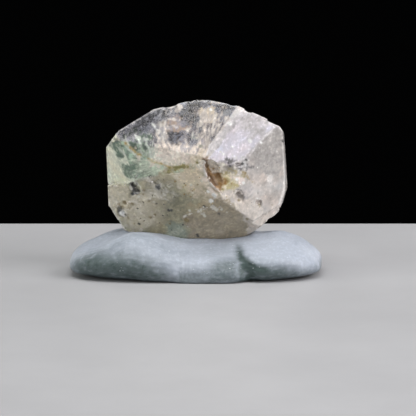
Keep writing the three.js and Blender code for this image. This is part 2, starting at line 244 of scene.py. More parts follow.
MARKS: list[Mark] = [
    Mark(
        "grey upper right corner", [
            (9.7, 18.2), (10.6, 17.4), (11.0, 15.5), (10.6, 12.5), (9.0, 12.0), (7.6, 13.0), (6.6, 14.3),
            (7.4, 15.8),
        ],
        (0.47, 0.44, 0.415), 0.9, soft=0.3, ragged=0.5, patchy=0.35,
    ),
    Mark(
        "edge of the grey corner", [(9.8, 18.2), (8.6, 17.0), (7.4, 15.8), (6.5, 14.4)],
        (0.92, 0.88, 0.88), 0.92, width=0.05, soft=0.14, ragged=0.25, patchy=0.4,
    ),
    Mark(
        "pinkish upper part of the right face",
        [(5.2, 20.2), (6.5, 19.8), (8.9, 18.6), (8.2, 17.4), (6.8, 17.0), (5.0, 17.6), (4.2, 18.6)],
        (0.64, 0.605, 0.6), 0.9, soft=0.7, ragged=0.6, patchy=0.3,
    ),
    Mark(
        "cloud under the window's edge", [
            (-5.4, 15.3), (-3.2, 15.2), (1.1, 14.5), (1.1, 13.7), (-0.7, 13.5), (-2.9, 13.1), (-4.4, 13.5),
            (-5.4, 14.1),
        ],
        (0.98, 0.89, 0.81), 0.94, soft=0.4, ragged=0.7, patchy=0.3,
    ),
    Mark(
        "yellow bloom over the crack",
        [(-3.0, 13.8), (-1.2, 14.2), (0.3, 14.1), (0.7, 13.3), (-0.4, 12.7), (-2.4, 12.4)],
        (0.86, 0.76, 0.52), 0.88, soft=0.3, ragged=0.9, patchy=0.7,
    ),
    Mark(
        "green depth of the left triangle", [
            (-10.4, 15.9), (-10.0, 16.3), (-9.2, 16.3), (-8.8, 15.5), (-8.7, 14.1), (-9.2, 14.0),
            (-9.7, 14.5), (-10.3, 15.5),
        ],
        (0.105, 0.185, 0.125), 0.88, soft=0.14, ragged=0.35, patchy=0.3,
    ),
    Mark(
        "green depth under the fan", [
            (-8.9, 13.3), (-8.2, 13.5), (-7.1, 13.2), (-7.0, 12.8), (-7.4, 12.1), (-7.9, 11.6),
            (-8.5, 11.6), (-8.8, 12.4),
        ],
        (0.16, 0.25, 0.175), 0.86, soft=0.18, ragged=0.5, patchy=0.3,
    ),
    # Painted shade: the dark room seen through the clear upper left of the window.
    Mark(
        "deep upper left of the window",
        [(-9.3, 17.1), (-5.4, 20.1), (-3.9, 20.3), (-4.6, 18.8), (-5.6, 17.8), (-7.4, 17.3)],
        (0.03, 0.03, 0.038), 0.8, soft=0.5, ragged=0.5, patchy=0.3,
    ),
    Mark(
        "upper left part of the cloud",
        [(-4.6, 17.4), (-4.3, 18.6), (-3.9, 19.0), (-3.4, 18.4), (-3.3, 16.6), (-3.9, 15.8), (-5.0, 15.6)],
        (0.5, 0.47, 0.43), 0.85, soft=0.35, ragged=0.6, patchy=0.6,
    ),
    Mark(
        "milky cloud", [
            (-5.8, 14.6), (-5.2, 15.6), (-4.4, 16.6), (-3.4, 16.6), (-2.6, 16.0), (-1.2, 15.8),
            (0.0, 16.4), (1.2, 17.2), (2.4, 17.3), (3.7, 18.0), (4.9, 19.9), (5.4, 20.2), (1.2, 14.2),
            (0.5, 12.9), (-1.2, 13.1), (-2.9, 12.8), (-4.6, 13.4),
        ],
        (0.84, 0.73, 0.64), 0.92, soft=0.5, ragged=1.9, patchy=0.55, root=(-0.8, 9.6), seed=11,
    ),
    # Painted shade: the dark room seen through a clear hole in the cloud.
    Mark(
        "clear hole in the cloud", [
            (-3.5, 17.3), (-2.7, 17.5), (-1.5, 17.4), (-1.1, 16.9), (-1.7, 16.0), (-2.6, 15.7),
            (-3.5, 16.0), (-3.3, 16.7),
        ],
        (0.02, 0.02, 0.028), 0.86, soft=0.24, ragged=0.45, patchy=0.3,
    ),
    # Painted shade: the dark room seen through a clear hole.
    Mark(
        "right clear hole", [(2.5, 18.0), (3.2, 18.1), (3.4, 17.6), (3.0, 17.2), (2.5, 17.4)],
        (0.07, 0.07, 0.085), 0.88, soft=0.2, ragged=0.35, patchy=0.3,
    ),
    # Painted shade: the dark room seen through a clear hole.
    Mark(
        "middle clear hole", [(0.1, 17.6), (0.9, 17.5), (0.8, 16.8), (0.2, 16.8)],
        (0.08, 0.08, 0.095), 0.86, soft=0.2, ragged=0.35, patchy=0.3,
    ),
    # Painted shade: the dark room seen through a clear hole.
    Mark(
        "lower clear hole", [(1.5, 17.1), (2.2, 17.1), (2.4, 16.4), (1.7, 15.3), (1.3, 15.5), (1.6, 16.3)],
        (0.09, 0.09, 0.11), 0.88, soft=0.2, ragged=0.35, patchy=0.3,
    ),
    Mark(
        "green haze in the cloud", [(-0.6, 17.1), (0.3, 16.7), (0.6, 15.9), (0.2, 15.4), (-0.7, 15.8)],
        (0.34, 0.36, 0.31), 0.7, soft=0.3, ragged=0.8, patchy=0.5,
    ),
    Mark(
        "fan on the left", [
            (-8.6, 15.1), (-7.8, 15.6), (-6.7, 16.1), (-5.3, 16.9), (-4.9, 15.5), (-4.5, 14.0),
            (-5.9, 14.3), (-7.1, 14.5),
        ],
        (0.74, 0.8, 0.69), 0.74, soft=0.3, ragged=1.1, patchy=0.9, root=(-5.8, 12.4), seed=15,
    ),
    Mark(
        "green depth above the crack",
        [(-8.2, 16.8), (-6.8, 16.9), (-5.6, 16.8), (-5.4, 15.9), (-6.0, 15.1), (-7.1, 15.2), (-7.9, 15.8)],
        (0.13, 0.18, 0.14), 0.8, soft=0.2, ragged=0.9, patchy=0.6,
    ),
    # Painted shade: the dark room seen through the clear corner of the window.
    Mark(
        "dark corner of the window",
        [(-10.3, 16.2), (-9.2, 17.2), (-7.8, 17.9), (-7.0, 17.6), (-7.4, 16.9), (-8.6, 16.3)],
        (0.06, 0.07, 0.065), 0.85, soft=0.3, ragged=0.5, patchy=0.3,
    ),
    Mark(
        "first ray of the fan", [(-9.1, 16.8), (-8.3, 15.7), (-7.9, 14.9)],
        (0.9, 0.92, 0.84), 0.92, width=0.04, soft=0.12, ragged=0.2, patchy=0.5,
    ),
    Mark(
        "second ray of the fan", [(-8.5, 16.9), (-8.1, 15.5), (-7.5, 14.8)],
        (0.9, 0.92, 0.82), 0.92, width=0.05, soft=0.12, ragged=0.25, patchy=0.5,
    ),
    Mark(
        "white flake in the fan", [(-7.6, 17.1), (-7.1, 17.1), (-7.0, 16.5), (-7.4, 16.4)],
        (0.86, 0.88, 0.8), 0.88, soft=0.14, ragged=0.4, patchy=0.4,
    ),
    Mark(
        "third ray of the fan", [(-6.9, 16.4), (-6.6, 15.2), (-6.4, 14.4)],
        (0.84, 0.9, 0.8), 0.9, width=0.04, soft=0.12, ragged=0.3, patchy=0.5,
    ),
    Mark(
        "fourth ray of the fan", [(-6.1, 16.4), (-5.7, 15.4), (-5.4, 14.2)],
        (0.84, 0.9, 0.8), 0.9, width=0.06, soft=0.12, ragged=0.3, patchy=0.5,
    ),
    Mark(
        "fifth ray of the fan", [(-5.3, 18.4), (-4.8, 17.8), (-4.4, 17.1)],
        (0.86, 0.86, 0.82), 0.9, width=0.06, soft=0.14, ragged=0.2, patchy=0.4,
    ),
    Mark(
        "dark gap in the fan", [(-7.8, 16.3), (-7.2, 15.3), (-6.9, 14.7)],
        (0.12, 0.18, 0.13), 0.75, width=0.1, soft=0.14, ragged=0.3, patchy=0.4,
    ),
    Mark(
        "pink lump", [(-3.4, 19.4), (-2.4, 19.3), (-1.6, 18.7), (-1.5, 17.7), (-2.4, 17.5), (-3.4, 18.0)],
        (0.42, 0.32, 0.26), 0.88, soft=0.2, ragged=1.1, patchy=0.7,
    ),
    Mark(
        "upper pink lump", [(-3.2, 20.6), (-2.6, 20.5), (-2.3, 19.8), (-3.0, 19.5), (-3.5, 20.0)],
        (0.6, 0.54, 0.5), 0.78, soft=0.16, ragged=0.8, patchy=0.5,
    ),
    Mark(
        "small pink lump", [(-0.7, 18.9), (-0.1, 18.9), (0.0, 18.2), (-0.6, 18.1)],
        (0.66, 0.56, 0.5), 0.6, soft=0.2, ragged=0.7, patchy=0.6,
    ),
    Mark(
        "pink top", [(0.7, 20.0), (1.4, 20.8), (2.5, 20.4), (2.4, 19.2), (1.5, 18.4), (0.6, 18.9)],
        (0.8, 0.68, 0.54), 0.8, soft=0.15, ragged=1.2, patchy=0.5,
    ),
    Mark(
        "clear patch under the top", [(3.0, 19.9), (4.5, 20.2), (4.4, 19.2), (3.6, 18.9), (2.9, 19.2)],
        (0.4, 0.41, 0.43), 0.6, soft=0.25, ragged=0.6, patchy=0.3,
    ),
    Mark(
        "pale line in the window", [(1.3, 20.2), (0.5, 19.0), (-0.4, 16.9)],
        (0.8, 0.77, 0.74), 0.8, width=0.04, soft=0.14, ragged=0.25, patchy=0.5,
    ),
    Mark(
        "pink haze under the top",
        [(0.4, 19.0), (2.6, 19.6), (4.2, 19.4), (2.6, 16.6), (1.4, 15.4), (0.6, 17.0)],
        (0.76, 0.68, 0.62), 0.72, soft=0.2, ragged=1.8, patchy=0.85, root=(1.0, 13.0), seed=23,
    ),
    Mark(
        "pale band left", [
            (-9.0, 13.9), (-7.9, 14.4), (-6.6, 14.2), (-4.6, 13.5), (-3.0, 12.8), (-4.4, 12.3),
            (-6.0, 11.8), (-7.0, 12.0), (-6.9, 13.0), (-8.3, 13.7),
        ],
        (0.7, 0.78, 0.62), 0.8, soft=0.25, ragged=1.1, patchy=0.6, root=(-3.0, 13.6), seed=14,
    ),
    Mark(
        "tan under the crack", [
            (-3.4, 13.0), (-2.4, 12.6), (-0.4, 12.9), (0.5, 12.5), (0.1, 11.4), (-2.5, 11.5), (-5.2, 11.7),
            (-4.2, 12.4),
        ],
        (0.44, 0.39, 0.25), 0.9, soft=0.35, ragged=0.6, patchy=0.3,
    ),
    Mark(
        "pale lip of the pit", [
            (0.2, 13.2), (1.1, 13.5), (1.5, 12.0), (2.2, 10.5), (3.2, 9.7), (4.4, 9.5), (3.9, 8.9),
            (2.4, 9.1), (1.2, 9.9), (0.5, 11.2),
        ],
        (0.95, 0.82, 0.7), 0.9, soft=0.6, ragged=0.9, patchy=0.3,
    ),
    Mark(
        "pale arc", [
            (2.1, 10.3), (2.9, 9.6), (4.0, 9.5), (4.9, 8.5), (5.75, 7.1), (6.3, 5.9), (6.0, 4.0),
            (8.0, 4.6), (9.6, 6.8), (8.0, 8.0), (6.6, 9.2), (4.9, 10.3),
        ],
        (0.62, 0.55, 0.485), 0.9, soft=0.16, ragged=0.3, patchy=0.25,
    ),
    Mark(
        "pink haze right of the pit",
        [(4.2, 12.4), (5.4, 12.8), (6.4, 11.6), (6.2, 10.6), (5.0, 10.4), (4.2, 11.2)],
        (0.6, 0.55, 0.5), 0.88, soft=0.3, ragged=0.7, patchy=0.3,
    ),
    Mark(
        "etched streaks right of the pit", [(3.9, 14.0), (4.7, 13.4), (5.4, 12.9), (6.4, 13.5)],
        (0.2, 0.19, 0.19), 0.85, width=0.12, soft=0.16, ragged=0.8, patchy=0.9,
    ),
    Mark(
        "white flakes by the pit", [(4.4, 14.6), (5.2, 13.9), (6.3, 14.1), (5.6, 13.2)],
        (0.85, 0.83, 0.82), 0.92, width=0.08, soft=0.16, ragged=0.6, patchy=0.6,
    ),
    Mark(
        "ochre groove right of the pit", [(5.6, 12.4), (6.3, 11.7), (6.9, 11.2)],
        (0.36, 0.27, 0.1), 0.92, width=0.12, soft=0.14, ragged=0.3, patchy=0.4,
    ),
    Mark(
        "pale flake under the pit", [(4.6, 10.9), (5.4, 10.7), (5.7, 10.2)],
        (0.82, 0.76, 0.7), 0.92, width=0.14, soft=0.15, ragged=0.35, patchy=0.3,
    ),
    Mark(
        "grey window by the pit", [(5.3, 10.6), (6.1, 10.9), (6.6, 10.2), (6.1, 9.1), (5.4, 9.5)],
        (0.4, 0.37, 0.365), 0.92, soft=0.5, ragged=0.6, patchy=0.1,
    ),
    Mark(
        "shade over the lower face",
        [(-5.6, 10.4), (-2.2, 10.6), (-0.6, 9.4), (-1.4, 7.6), (-4.4, 7.6), (-5.8, 8.8)],
        (0.25, 0.235, 0.15), 0.86, soft=1.0, ragged=0.8, patchy=0.45,
    ),
    Mark(
        "cool window of the foot", [(-3.8, 6.0), (-1.4, 6.2), (-1.0, 4.6), (-1.5, 3.7), (-3.4, 4.3)],
        (0.37, 0.42, 0.33), 0.75, soft=0.5, ragged=0.5, patchy=0.2,
    ),
    Mark(
        "brown foot", [
            (-1.6, 7.0), (0.2, 7.8), (1.7, 8.8), (2.9, 9.3), (4.0, 9.3), (4.9, 8.3), (5.7, 7.0),
            (6.2, 5.9), (5.8, 4.3), (3.5, 3.2), (1.0, 3.4), (-0.8, 4.6),
        ],
        (0.385, 0.32, 0.215), 0.84, soft=0.2, ragged=0.5, patchy=0.3,
    ),
    Mark(
        "ochre stain over the foot",
        [(-1.2, 8.2), (0.6, 8.8), (2.0, 9.4), (1.6, 8.4), (0.2, 7.8), (-1.0, 7.4)],
        (0.5, 0.41, 0.25), 0.84, soft=0.3, ragged=0.9, patchy=0.7,
    ),
    Mark(
        "pale glow left of the pit", [
            (-2.3, 12.6), (-1.0, 13.2), (-0.6, 14.3), (1.0, 14.6), (1.0, 12.4), (1.4, 11.0), (1.9, 9.7),
            (1.2, 9.1), (-0.6, 9.5), (-1.9, 10.9),
        ],
        (0.8, 0.68, 0.5), 0.88, soft=0.8, ragged=0.8, patchy=0.5,
    ),
    Mark(
        "grey shoulder of the pit",
        [(2.6, 13.6), (3.6, 13.4), (5.0, 12.7), (4.7, 12.0), (3.4, 12.3), (2.5, 12.9)],
        (0.46, 0.42, 0.37), 0.86, soft=0.35, ragged=0.6, patchy=0.3,
    ),
    Mark(
        "olive floor of the pit", [
            (3.0, 12.3), (3.9, 12.6), (5.0, 12.2), (5.2, 11.6), (4.7, 10.6), (3.7, 9.9), (2.9, 10.0),
            (2.5, 10.8),
        ],
        (0.56, 0.475, 0.21), 0.88, soft=0.4, ragged=0.8, patchy=0.45,
    ),
    Mark(
        "white flakes on the pit's right rim", [(4.2, 11.9), (4.9, 11.7), (5.6, 11.2)],
        (0.93, 0.8, 0.74), 0.94, width=0.17, soft=0.16, ragged=0.4, patchy=0.3,
    ),
    Mark(
        "brown wall of the pit", [
            (0.95, 14.0), (1.3, 14.1), (1.6, 13.2), (2.3, 12.7), (3.1, 12.0), (3.5, 10.9), (2.9, 9.7),
            (2.2, 10.0), (1.5, 11.3), (0.95, 13.0),
        ],
        (0.29, 0.15, 0.035), 0.95, soft=0.25, ragged=0.5, patchy=0.2,
    ),
    Mark(
        "darkest side of the pit", [
            (0.95, 14.1), (1.25, 14.2), (1.3, 13.0), (1.8, 12.1), (2.3, 11.3), (2.6, 10.3), (2.2, 10.2),
            (1.5, 11.3), (0.95, 12.8),
        ],
        (0.11, 0.048, 0.01), 0.95, soft=0.2, ragged=0.35, patchy=0.15,
    ),
    Mark(
        "pink rim left of the pit",
        [(0.5, 13.3), (0.75, 12.2), (1.2, 11.2), (1.8, 10.2), (2.6, 9.7), (3.8, 9.6)],
        (1.0, 0.88, 0.78), 0.95, width=0.15, soft=0.22, ragged=0.6, patchy=0.6,
    ),
    Mark(
        "pale side of the crack",
        [(-7.2, 14.3), (-5.6, 13.7), (-4.2, 13.1), (-3.2, 13.5), (-1.9, 13.6), (-0.6, 13.0), (0.4, 13.2)],
        (0.9, 0.84, 0.72), 0.92, width=0.12, soft=0.2, ragged=0.9, patchy=0.9,
    ),
    Mark(
        "iron-stained crack", [
            (-8.6, 16.0), (-7.8, 15.2), (-7.0, 14.6), (-6.3, 14.4), (-5.6, 14.0), (-4.9, 13.6),
            (-3.8, 13.3), (-2.9, 12.9), (-1.9, 13.1), (-0.7, 13.3),
        ],
        (0.46, 0.31, 0.07), 0.95, width=0.07, soft=0.16, ragged=0.22, patchy=0.35,
    ),
    Mark(
        "olive stain", [(-2.8, 12.9), (-2.4, 12.6), (-1.9, 13.0), (-1.0, 13.1), (-0.3, 13.3)],
        (0.33, 0.29, 0.09), 0.9, width=0.14, soft=0.26, ragged=0.9, patchy=0.85,
    ),
    Mark(
        "thick of the olive stain", [(-2.7, 13.2), (-2.2, 13.3), (-1.9, 12.9), (-2.2, 12.5), (-2.7, 12.6)],
        (0.27, 0.25, 0.07), 0.85, soft=0.25, ragged=0.7, patchy=0.5,
    ),
    Mark(
        "paler tan at the lower left",
        [(-8.3, 9.6), (-6.4, 10.0), (-4.2, 9.2), (-3.9, 7.0), (-4.4, 5.6), (-8.2, 5.4), (-9.2, 7.0)],
        (0.55, 0.49, 0.36), 0.88, soft=0.9, ragged=0.6, patchy=0.35,
    ),
    Mark(
        "tan face under the strip",
        [(-11.2, 10.8), (-8.4, 11.1), (-7.9, 10.0), (-8.2, 8.8), (-8.8, 7.2), (-9.4, 6.6), (-11.0, 8.6)],
        (0.6, 0.545, 0.4), 0.93, soft=0.2, ragged=0.2, patchy=0.1,
    ),
    Mark(
        "pale ridge at the lower left", [(-6.0, 11.4), (-6.8, 10.5), (-7.6, 9.5), (-8.4, 8.6), (-9.1, 7.9)],
        (0.72, 0.64, 0.46), 0.88, width=0.13, soft=0.3, ragged=0.35, patchy=0.5,
    ),
    Mark(
        "strip along the window", [
            (5.7, 20.4), (4.5, 19.3), (3.7, 18.3), (2.6, 17.0), (1.7, 15.6), (1.3, 14.5), (2.4, 15.1),
            (3.4, 16.2), (4.4, 17.7), (5.2, 18.6), (6.3, 19.8),
        ],
        (0.69, 0.655, 0.66), 0.9, soft=0.12, ragged=0.2, patchy=0.3,
    ),
    Mark(
        "bright edge of the window",
        [(5.7, 20.4), (4.5, 19.3), (3.7, 18.3), (2.6, 17.0), (1.7, 15.6), (1.3, 14.5)],
        (0.97, 0.93, 0.92), 0.95, width=0.06, soft=0.1, ragged=0.15, patchy=0.3,
    ),
    Mark(
        "second edge of the window", [(6.3, 19.8), (5.2, 18.6), (4.4, 17.7), (3.3, 16.2), (2.4, 15.1)],
        (0.46, 0.43, 0.43), 0.9, width=0.05, soft=0.12, ragged=0.2, patchy=0.5,
    ),
    Mark(
        "edges of the left triangle", [(-10.4, 16.3), (-9.5, 14.0), (-8.4, 11.5), (-6.0, 11.6)],
        (0.6, 0.64, 0.52), 0.85, width=0.02, soft=0.12, ragged=0.1, patchy=0.3,
    ),
    Mark(
        "glinting line over the foot", [(-1.6, 6.9), (0.0, 7.5), (1.2, 7.9), (2.1, 8.1), (3.2, 7.8)],
        (0.8, 0.76, 0.68), 0.92, width=0.03, soft=0.14, ragged=0.6, patchy=0.9,
    ),
    Mark(
        "bright rim of the arc",
        [(1.8, 9.0), (2.9, 9.5), (4.0, 9.4), (4.9, 8.4), (5.7, 7.1), (6.3, 5.9), (5.9, 4.3)],
        (0.76, 0.69, 0.6), 0.92, width=0.03, soft=0.16, ragged=0.3, patchy=0.5,
    ),
    Mark(
        "middle finger of the cloud", [(-1.4, 15.8), (-1.25, 16.6), (-1.0, 17.3)],
        (0.88, 0.81, 0.73), 0.85, width=0.14, soft=0.2, ragged=0.5, patchy=0.4,
    ),
    Mark(
        "right finger of the cloud", [(-0.1, 15.8), (0.2, 17.2), (0.7, 18.4)],
        (0.84, 0.76, 0.68), 0.82, width=0.14, soft=0.2, ragged=0.5, patchy=0.4,
    ),
    Mark(
        "ochre scribble at the lower left",
        [(-9.3, 8.2), (-8.7, 8.8), (-8.0, 8.5), (-7.4, 8.8), (-7.0, 8.4)],
        (0.3, 0.23, 0.09), 0.85, width=0.1, soft=0.3, ragged=0.7, patchy=0.7,
    ),
    # Painted shade: the dark inside of a cavity at the lower left.
    Mark(
        "dark hollow at the lower left", [(-9.5, 7.9), (-8.8, 7.6), (-8.4, 7.0), (-8.9, 6.8), (-9.4, 7.2)],
        (0.13, 0.12, 0.07), 0.85, soft=0.2, ragged=0.4, patchy=0.4,
    ),
    *strokes((0.88, 0.81, 0.75), 0.88, width=0.05, soft=0.12, ragged=0.3, patchy=0.45, lines={
        "crumb over the lump": [(-3.8, 20.1), (-3.6, 19.6), (-3.1, 19.4), (-2.7, 19.6)],
        "crumb across the lump": [(-3.4, 18.9), (-2.8, 19.0), (-2.2, 18.7), (-1.7, 18.8)],
        "crumb at the top": [(-2.9, 20.4), (-2.3, 20.6), (-1.7, 20.3)],
        "crumb under the lump": [(-3.4, 18.0), (-2.8, 18.1), (-2.3, 17.9)],
    }),
    *strokes((0.87, 0.81, 0.75), 0.84, width=0.05, soft=0.12, ragged=0.2, patchy=0.5, lines={
        "fibre left of the hole": [(-4.3, 16.4), (-4.5, 17.3), (-4.2, 18.2)],
        "long fibre left of the hole": [(-3.9, 16.2), (-3.85, 17.6), (-3.6, 18.9)],
        "fibre right of the hole": [(-0.5, 16.0), (-0.4, 17.2), (0.0, 18.5), (0.2, 19.6)],
        "fibre under the top": [(1.9, 16.9), (2.1, 18.2), (2.4, 19.4)],
        "fibre by the strip": [(2.7, 17.1), (3.3, 18.3), (3.9, 19.3)],
        "short fibre by the strip": [(2.1, 16.1), (3.0, 17.4), (3.5, 18.0)],
    }),
    Mark(
        "ochre spots at the lower right", [(8.9, 8.9), (9.3, 8.4), (9.0, 8.1)],
        (0.46, 0.33, 0.17), 0.8, width=0.1, soft=0.2, ragged=0.6, patchy=0.7,
    ),
    Mark(
        "pale patch on the margin", [(8.95, 11.6), (9.05, 10.9)],
        (0.9, 0.86, 0.82), 0.85, width=0.15, soft=0.3, ragged=0.5, patchy=0.4,
    ),
    # Painted highlight: the bright line just inside the right rim, where the rim's edge catches the light.
    Mark(
        "bright line inside the right rim",
        [(10.5, 16.6), (10.7, 14.1), (10.8, 11.8), (10.65, 9.8), (10.1, 8.4)],
        (0.95, 0.9, 0.86), 0.9, width=0.05, soft=0.16, ragged=0.2, patchy=0.4,
    ),
    # Painted refraction: the brown line that the rim's edge shows where it bends the light.
    Mark(
        "brown line on the right rim", [(10.9, 16.4), (11.0, 14.1), (11.1, 11.8), (11.0, 9.8), (10.5, 8.4)],
        (0.4, 0.28, 0.2), 0.85, width=0.05, soft=0.14, ragged=0.15, patchy=0.3,
    ),
    # Painted shade: the dark insides of small cavities and pits.
    *spots("dark cavity", (0.015, 0.017, 0.015), [
        (-7.75, 10.85, 0.38), (-7.5, 10.3, 0.42), (-7.05, 10.2, 0.24), (-7.8, 9.8, 0.18),
        (-7.2, 11.0, 0.13), (-4.65, 10.65, 0.3), (0.6, 21.2, 0.16), (0.9, 21.35, 0.1), (1.65, 20.7, 0.14),
        (-1.75, 19.35, 0.14), (-2.6, 20.55, 0.16), (-2.0, 19.55, 0.12), (-3.9, 19.9, 0.13),
        (-3.35, 17.1, 0.12), (-2.75, 20.25, 0.1), (-1.7, 18.8, 0.1), (-3.2, 18.15, 0.09),
        (-1.45, 18.3, 0.1), (-4.5, 19.3, 0.09), (-0.9, 20.9, 0.1), (2.4, 20.6, 0.09), (-3.3, 16.3, 0.13),
        (10.5, 16.3, 0.13), (6.05, 13.95, 0.15), (5.6, 13.45, 0.12), (4.95, 13.75, 0.12), (4.1, 13.2, 0.1),
        (3.9, 13.55, 0.09), (-7.0, 6.1, 0.1), (-3.3, 7.75, 0.11), (-3.0, 7.75, 0.1), (0.2, 4.6, 0.1),
        (-9.35, 7.65, 0.13), (1.0, 8.25, 0.1), (2.8, 7.3, 0.08), (7.5, 9.75, 0.08), (9.9, 13.6, 0.07),
    ]),
    *spots("ochre spot", (0.2, 0.15, 0.055), [
        (-8.8, 8.75, 0.22), (-7.8, 8.6, 0.18), (-8.3, 6.8, 0.16), (-6.35, 10.2, 0.12), (-6.4, 9.7, 0.1),
        (-7.6, 6.1, 0.1), (-5.0, 7.2, 0.08), (-5.6, 6.9, 0.07), (-3.2, 6.1, 0.07), (-1.2, 6.6, 0.22),
        (0.2, 10.9, 0.08), (7.65, 8.4, 0.16), (9.2, 8.4, 0.1), (5.2, 9.0, 0.1), (5.8, 7.6, 0.1),
        (6.2, 6.7, 0.08), (4.6, 10.0, 0.1), (-5.7, 8.9, 0.07), (-4.2, 9.9, 0.07), (-1.9, 9.0, 0.08),
    ]),
    *spots("glint", (1.0, 1.0, 0.97), [
        (-8.95, 7.45, 0.17), (-8.85, 7.15, 0.14), (1.8, 8.95, 0.2), (1.4, 10.1, 0.18), (2.2, 9.65, 0.2),
        (6.5, 16.2, 0.15), (7.8, 16.1, 0.18), (5.0, 16.2, 0.08), (6.35, 15.2, 0.08), (3.2, 16.4, 0.13),
        (4.0, 18.4, 0.17), (4.4, 15.5, 0.08), (6.35, 13.9, 0.1), (3.3, 14.6, 0.1), (9.8, 15.0, 0.08),
        (1.8, 20.1, 0.09), (5.75, 11.1, 0.1), (-9.1, 7.4, 0.2), (4.9, 11.55, 0.13), (7.45, 9.2, 0.13),
        (-7.3, 16.9, 0.1),
    ]),
    *spots("pale spot", (0.72, 0.7, 0.6), [
        (-2.7, 9.4, 0.08), (-2.2, 7.75, 0.08), (-0.8, 7.7, 0.1), (-0.9, 7.2, 0.08), (0.0, 7.8, 0.08),
        (0.6, 7.8, 0.07), (-1.0, 5.7, 0.07), (1.05, 7.1, 0.08), (-7.0, 9.4, 0.08), (-5.1, 8.8, 0.07),
        (2.4, 7.75, 0.1), (3.1, 7.8, 0.1), (3.7, 7.5, 0.07), (-3.6, 13.5, 0.09), (-1.4, 13.6, 0.08),
        (-0.2, 12.9, 0.09), (0.7, 11.3, 0.1), (-0.4, 9.9, 0.1), (2.9, 14.9, 0.08), (-0.6, 10.9, 0.07),
    ]),
]


def front_view(points: np.ndarray) -> tuple[np.ndarray, np.ndarray]:
    """How far across and up every point shows in the photograph's view."""
    return points[:, 0], points[:, 2] + VIEW_SLOPE * points[:, 1]


def metres(mesh: bpy.types.Mesh) -> np.ndarray:
    """The mesh's vertex positions in metres, one row each."""
    found = np.empty(len(mesh.vertices) * 3, np.float32)
    mesh.vertices.foreach_get("co", found)
    return found.reshape(-1, 3).astype(float)


def vertex_normals(mesh: bpy.types.Mesh) -> np.ndarray:
    """The mesh's smooth vertex normals, one row each."""
    found = np.empty(len(mesh.vertices) * 3, np.float32)
    mesh.vertex_normals.foreach_get("vector", found)
    return found.reshape(-1, 3).astype(float)


def put_back(mesh: bpy.types.Mesh, points: np.ndarray) -> None:
    """Writes vertex positions, in metres, to the mesh."""
    mesh.vertices.foreach_set("co", points.astype(np.float32).ravel())
    mesh.update()


def smoothstep(low: float, high: float, value: np.ndarray) -> np.ndarray:
    """A soft step from 0 at low to 1 at high, for every value."""
    share = np.clip((value - low) / (high - low), 0.0, 1.0)
    return share * share * (3.0 - 2.0 * share)


def turbulence(points: np.ndarray, scale: float, octaves: int, seed: float) -> np.ndarray:
    """Soft noise between about -1 and 1 at every point.

    Args:
        points: positions in millimetres, one row each.
        scale: size of the largest lumps in millimetres.
        octaves: how many finer layers are added.
        seed: shifts the pattern.

    Returns:
        One value for each point.
    """
    shift = Vector((seed * 17.3, seed * -9.1, seed * 5.7))
    places = [Vector(row) + shift for row in (points / scale).tolist()]
    return np.array(
        [noise.fractal(place, 1.0, 2.0, octaves, noise_basis="PERLIN_ORIGINAL") for place in places]
    )


def spread(mesh: bpy.types.Mesh, values: np.ndarray, rounds: int) -> np.ndarray:
    """Averages values with their neighbours' along the mesh's edges, again and again."""
    edges = np.empty(len(mesh.edges) * 2, np.int32)
    mesh.edges.foreach_get("vertices", edges)
    pairs = edges.reshape(-1, 2)
    count = np.bincount(pairs.ravel(), minlength=len(mesh.vertices)).astype(float) + 1.0
    flat = values.reshape(len(values), -1).astype(float)
    for _ in range(rounds):
        total = flat.copy()
        for column in range(flat.shape[1]):
            total[:, column] += np.bincount(pairs[:, 0], flat[pairs[:, 1], column], len(flat))
            total[:, column] += np.bincount(pairs[:, 1], flat[pairs[:, 0], column], len(flat))
        flat = total / count[:, None]
    return flat.reshape(values.shape)


def distance_to_line(across: np.ndarray, up: np.ndarray, line: list[Point]) -> np.ndarray:
    """The distance of every point to a line of straight runs, all in the viewer's plane."""
    best = np.full(len(across), 1e9)
    for (ax, ay), (bx, by) in zip(line, line[1:]):
        dx, dy = bx - ax, by - ay
        share = np.clip(((across - ax) * dx + (up - ay) * dy) / (dx * dx + dy * dy), 0.0, 1.0)
        best = np.minimum(best, np.hypot(across - ax - share * dx, up - ay - share * dy))
    return best


def is_inside(across: np.ndarray, up: np.ndarray, outline: list[Point]) -> np.ndarray:
    """Whether every point lies inside a closed outline in the viewer's plane."""
    inside = np.zeros(len(across), bool)
    for (ax, ay), (bx, by) in zip(outline, [*outline[1:], outline[0]]):
        if ay == by:
            continue
        crosses = (ay > up) != (by > up)
        inside ^= crosses & (across < ax + (bx - ax) * (up - ay) / (by - ay))
    return inside


def write_number(mesh: bpy.types.Mesh, name: str, values: np.ndarray) -> None:
    """Stores one number for each vertex under a name."""
    mesh.attributes.new(name, "FLOAT", "POINT").data.foreach_set("value", values.astype(np.float32))


def write_colour(mesh: bpy.types.Mesh, name: str, values: np.ndarray) -> None:
    """Stores one colour for each vertex under a name."""
    rgba = np.c_[np.clip(values, 0.0, 1.0), np.ones(len(values))].astype(np.float32)
    mesh.attributes.new(name, "FLOAT_COLOR", "POINT").data.foreach_set("color", rgba.ravel())


def add_piece(name: str, mesh: bpy.types.Mesh, material: bpy.types.Material | None) -> bpy.types.Object:
    """Links a mesh to the scene as a named piece with one material."""
    piece = bpy.data.objects.new(name, mesh)
    bpy.context.scene.collection.objects.link(piece)
    if material is not None:
        mesh.materials.clear()
        mesh.materials.append(material)
    return piece


def baked(piece: bpy.types.Object) -> bpy.types.Mesh:
    """A plain mesh of the piece with its modifiers worked in."""
    bpy.context.view_layer.update()
    graph = bpy.context.evaluated_depsgraph_get()
    return bpy.data.meshes.new_from_object(piece.evaluated_get(graph), depsgraph=graph)


def surface_of(node: str) -> BVHTree:
    """A search tree over a CAD node's faces."""
    work = bmesh.new()
    work.from_mesh(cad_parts[node].data)
    bmesh.ops.remove_doubles(work, verts=work.verts, dist=SAME_PLACE)
    tree = BVHTree.FromBMesh(work)
    work.free()
    return tree


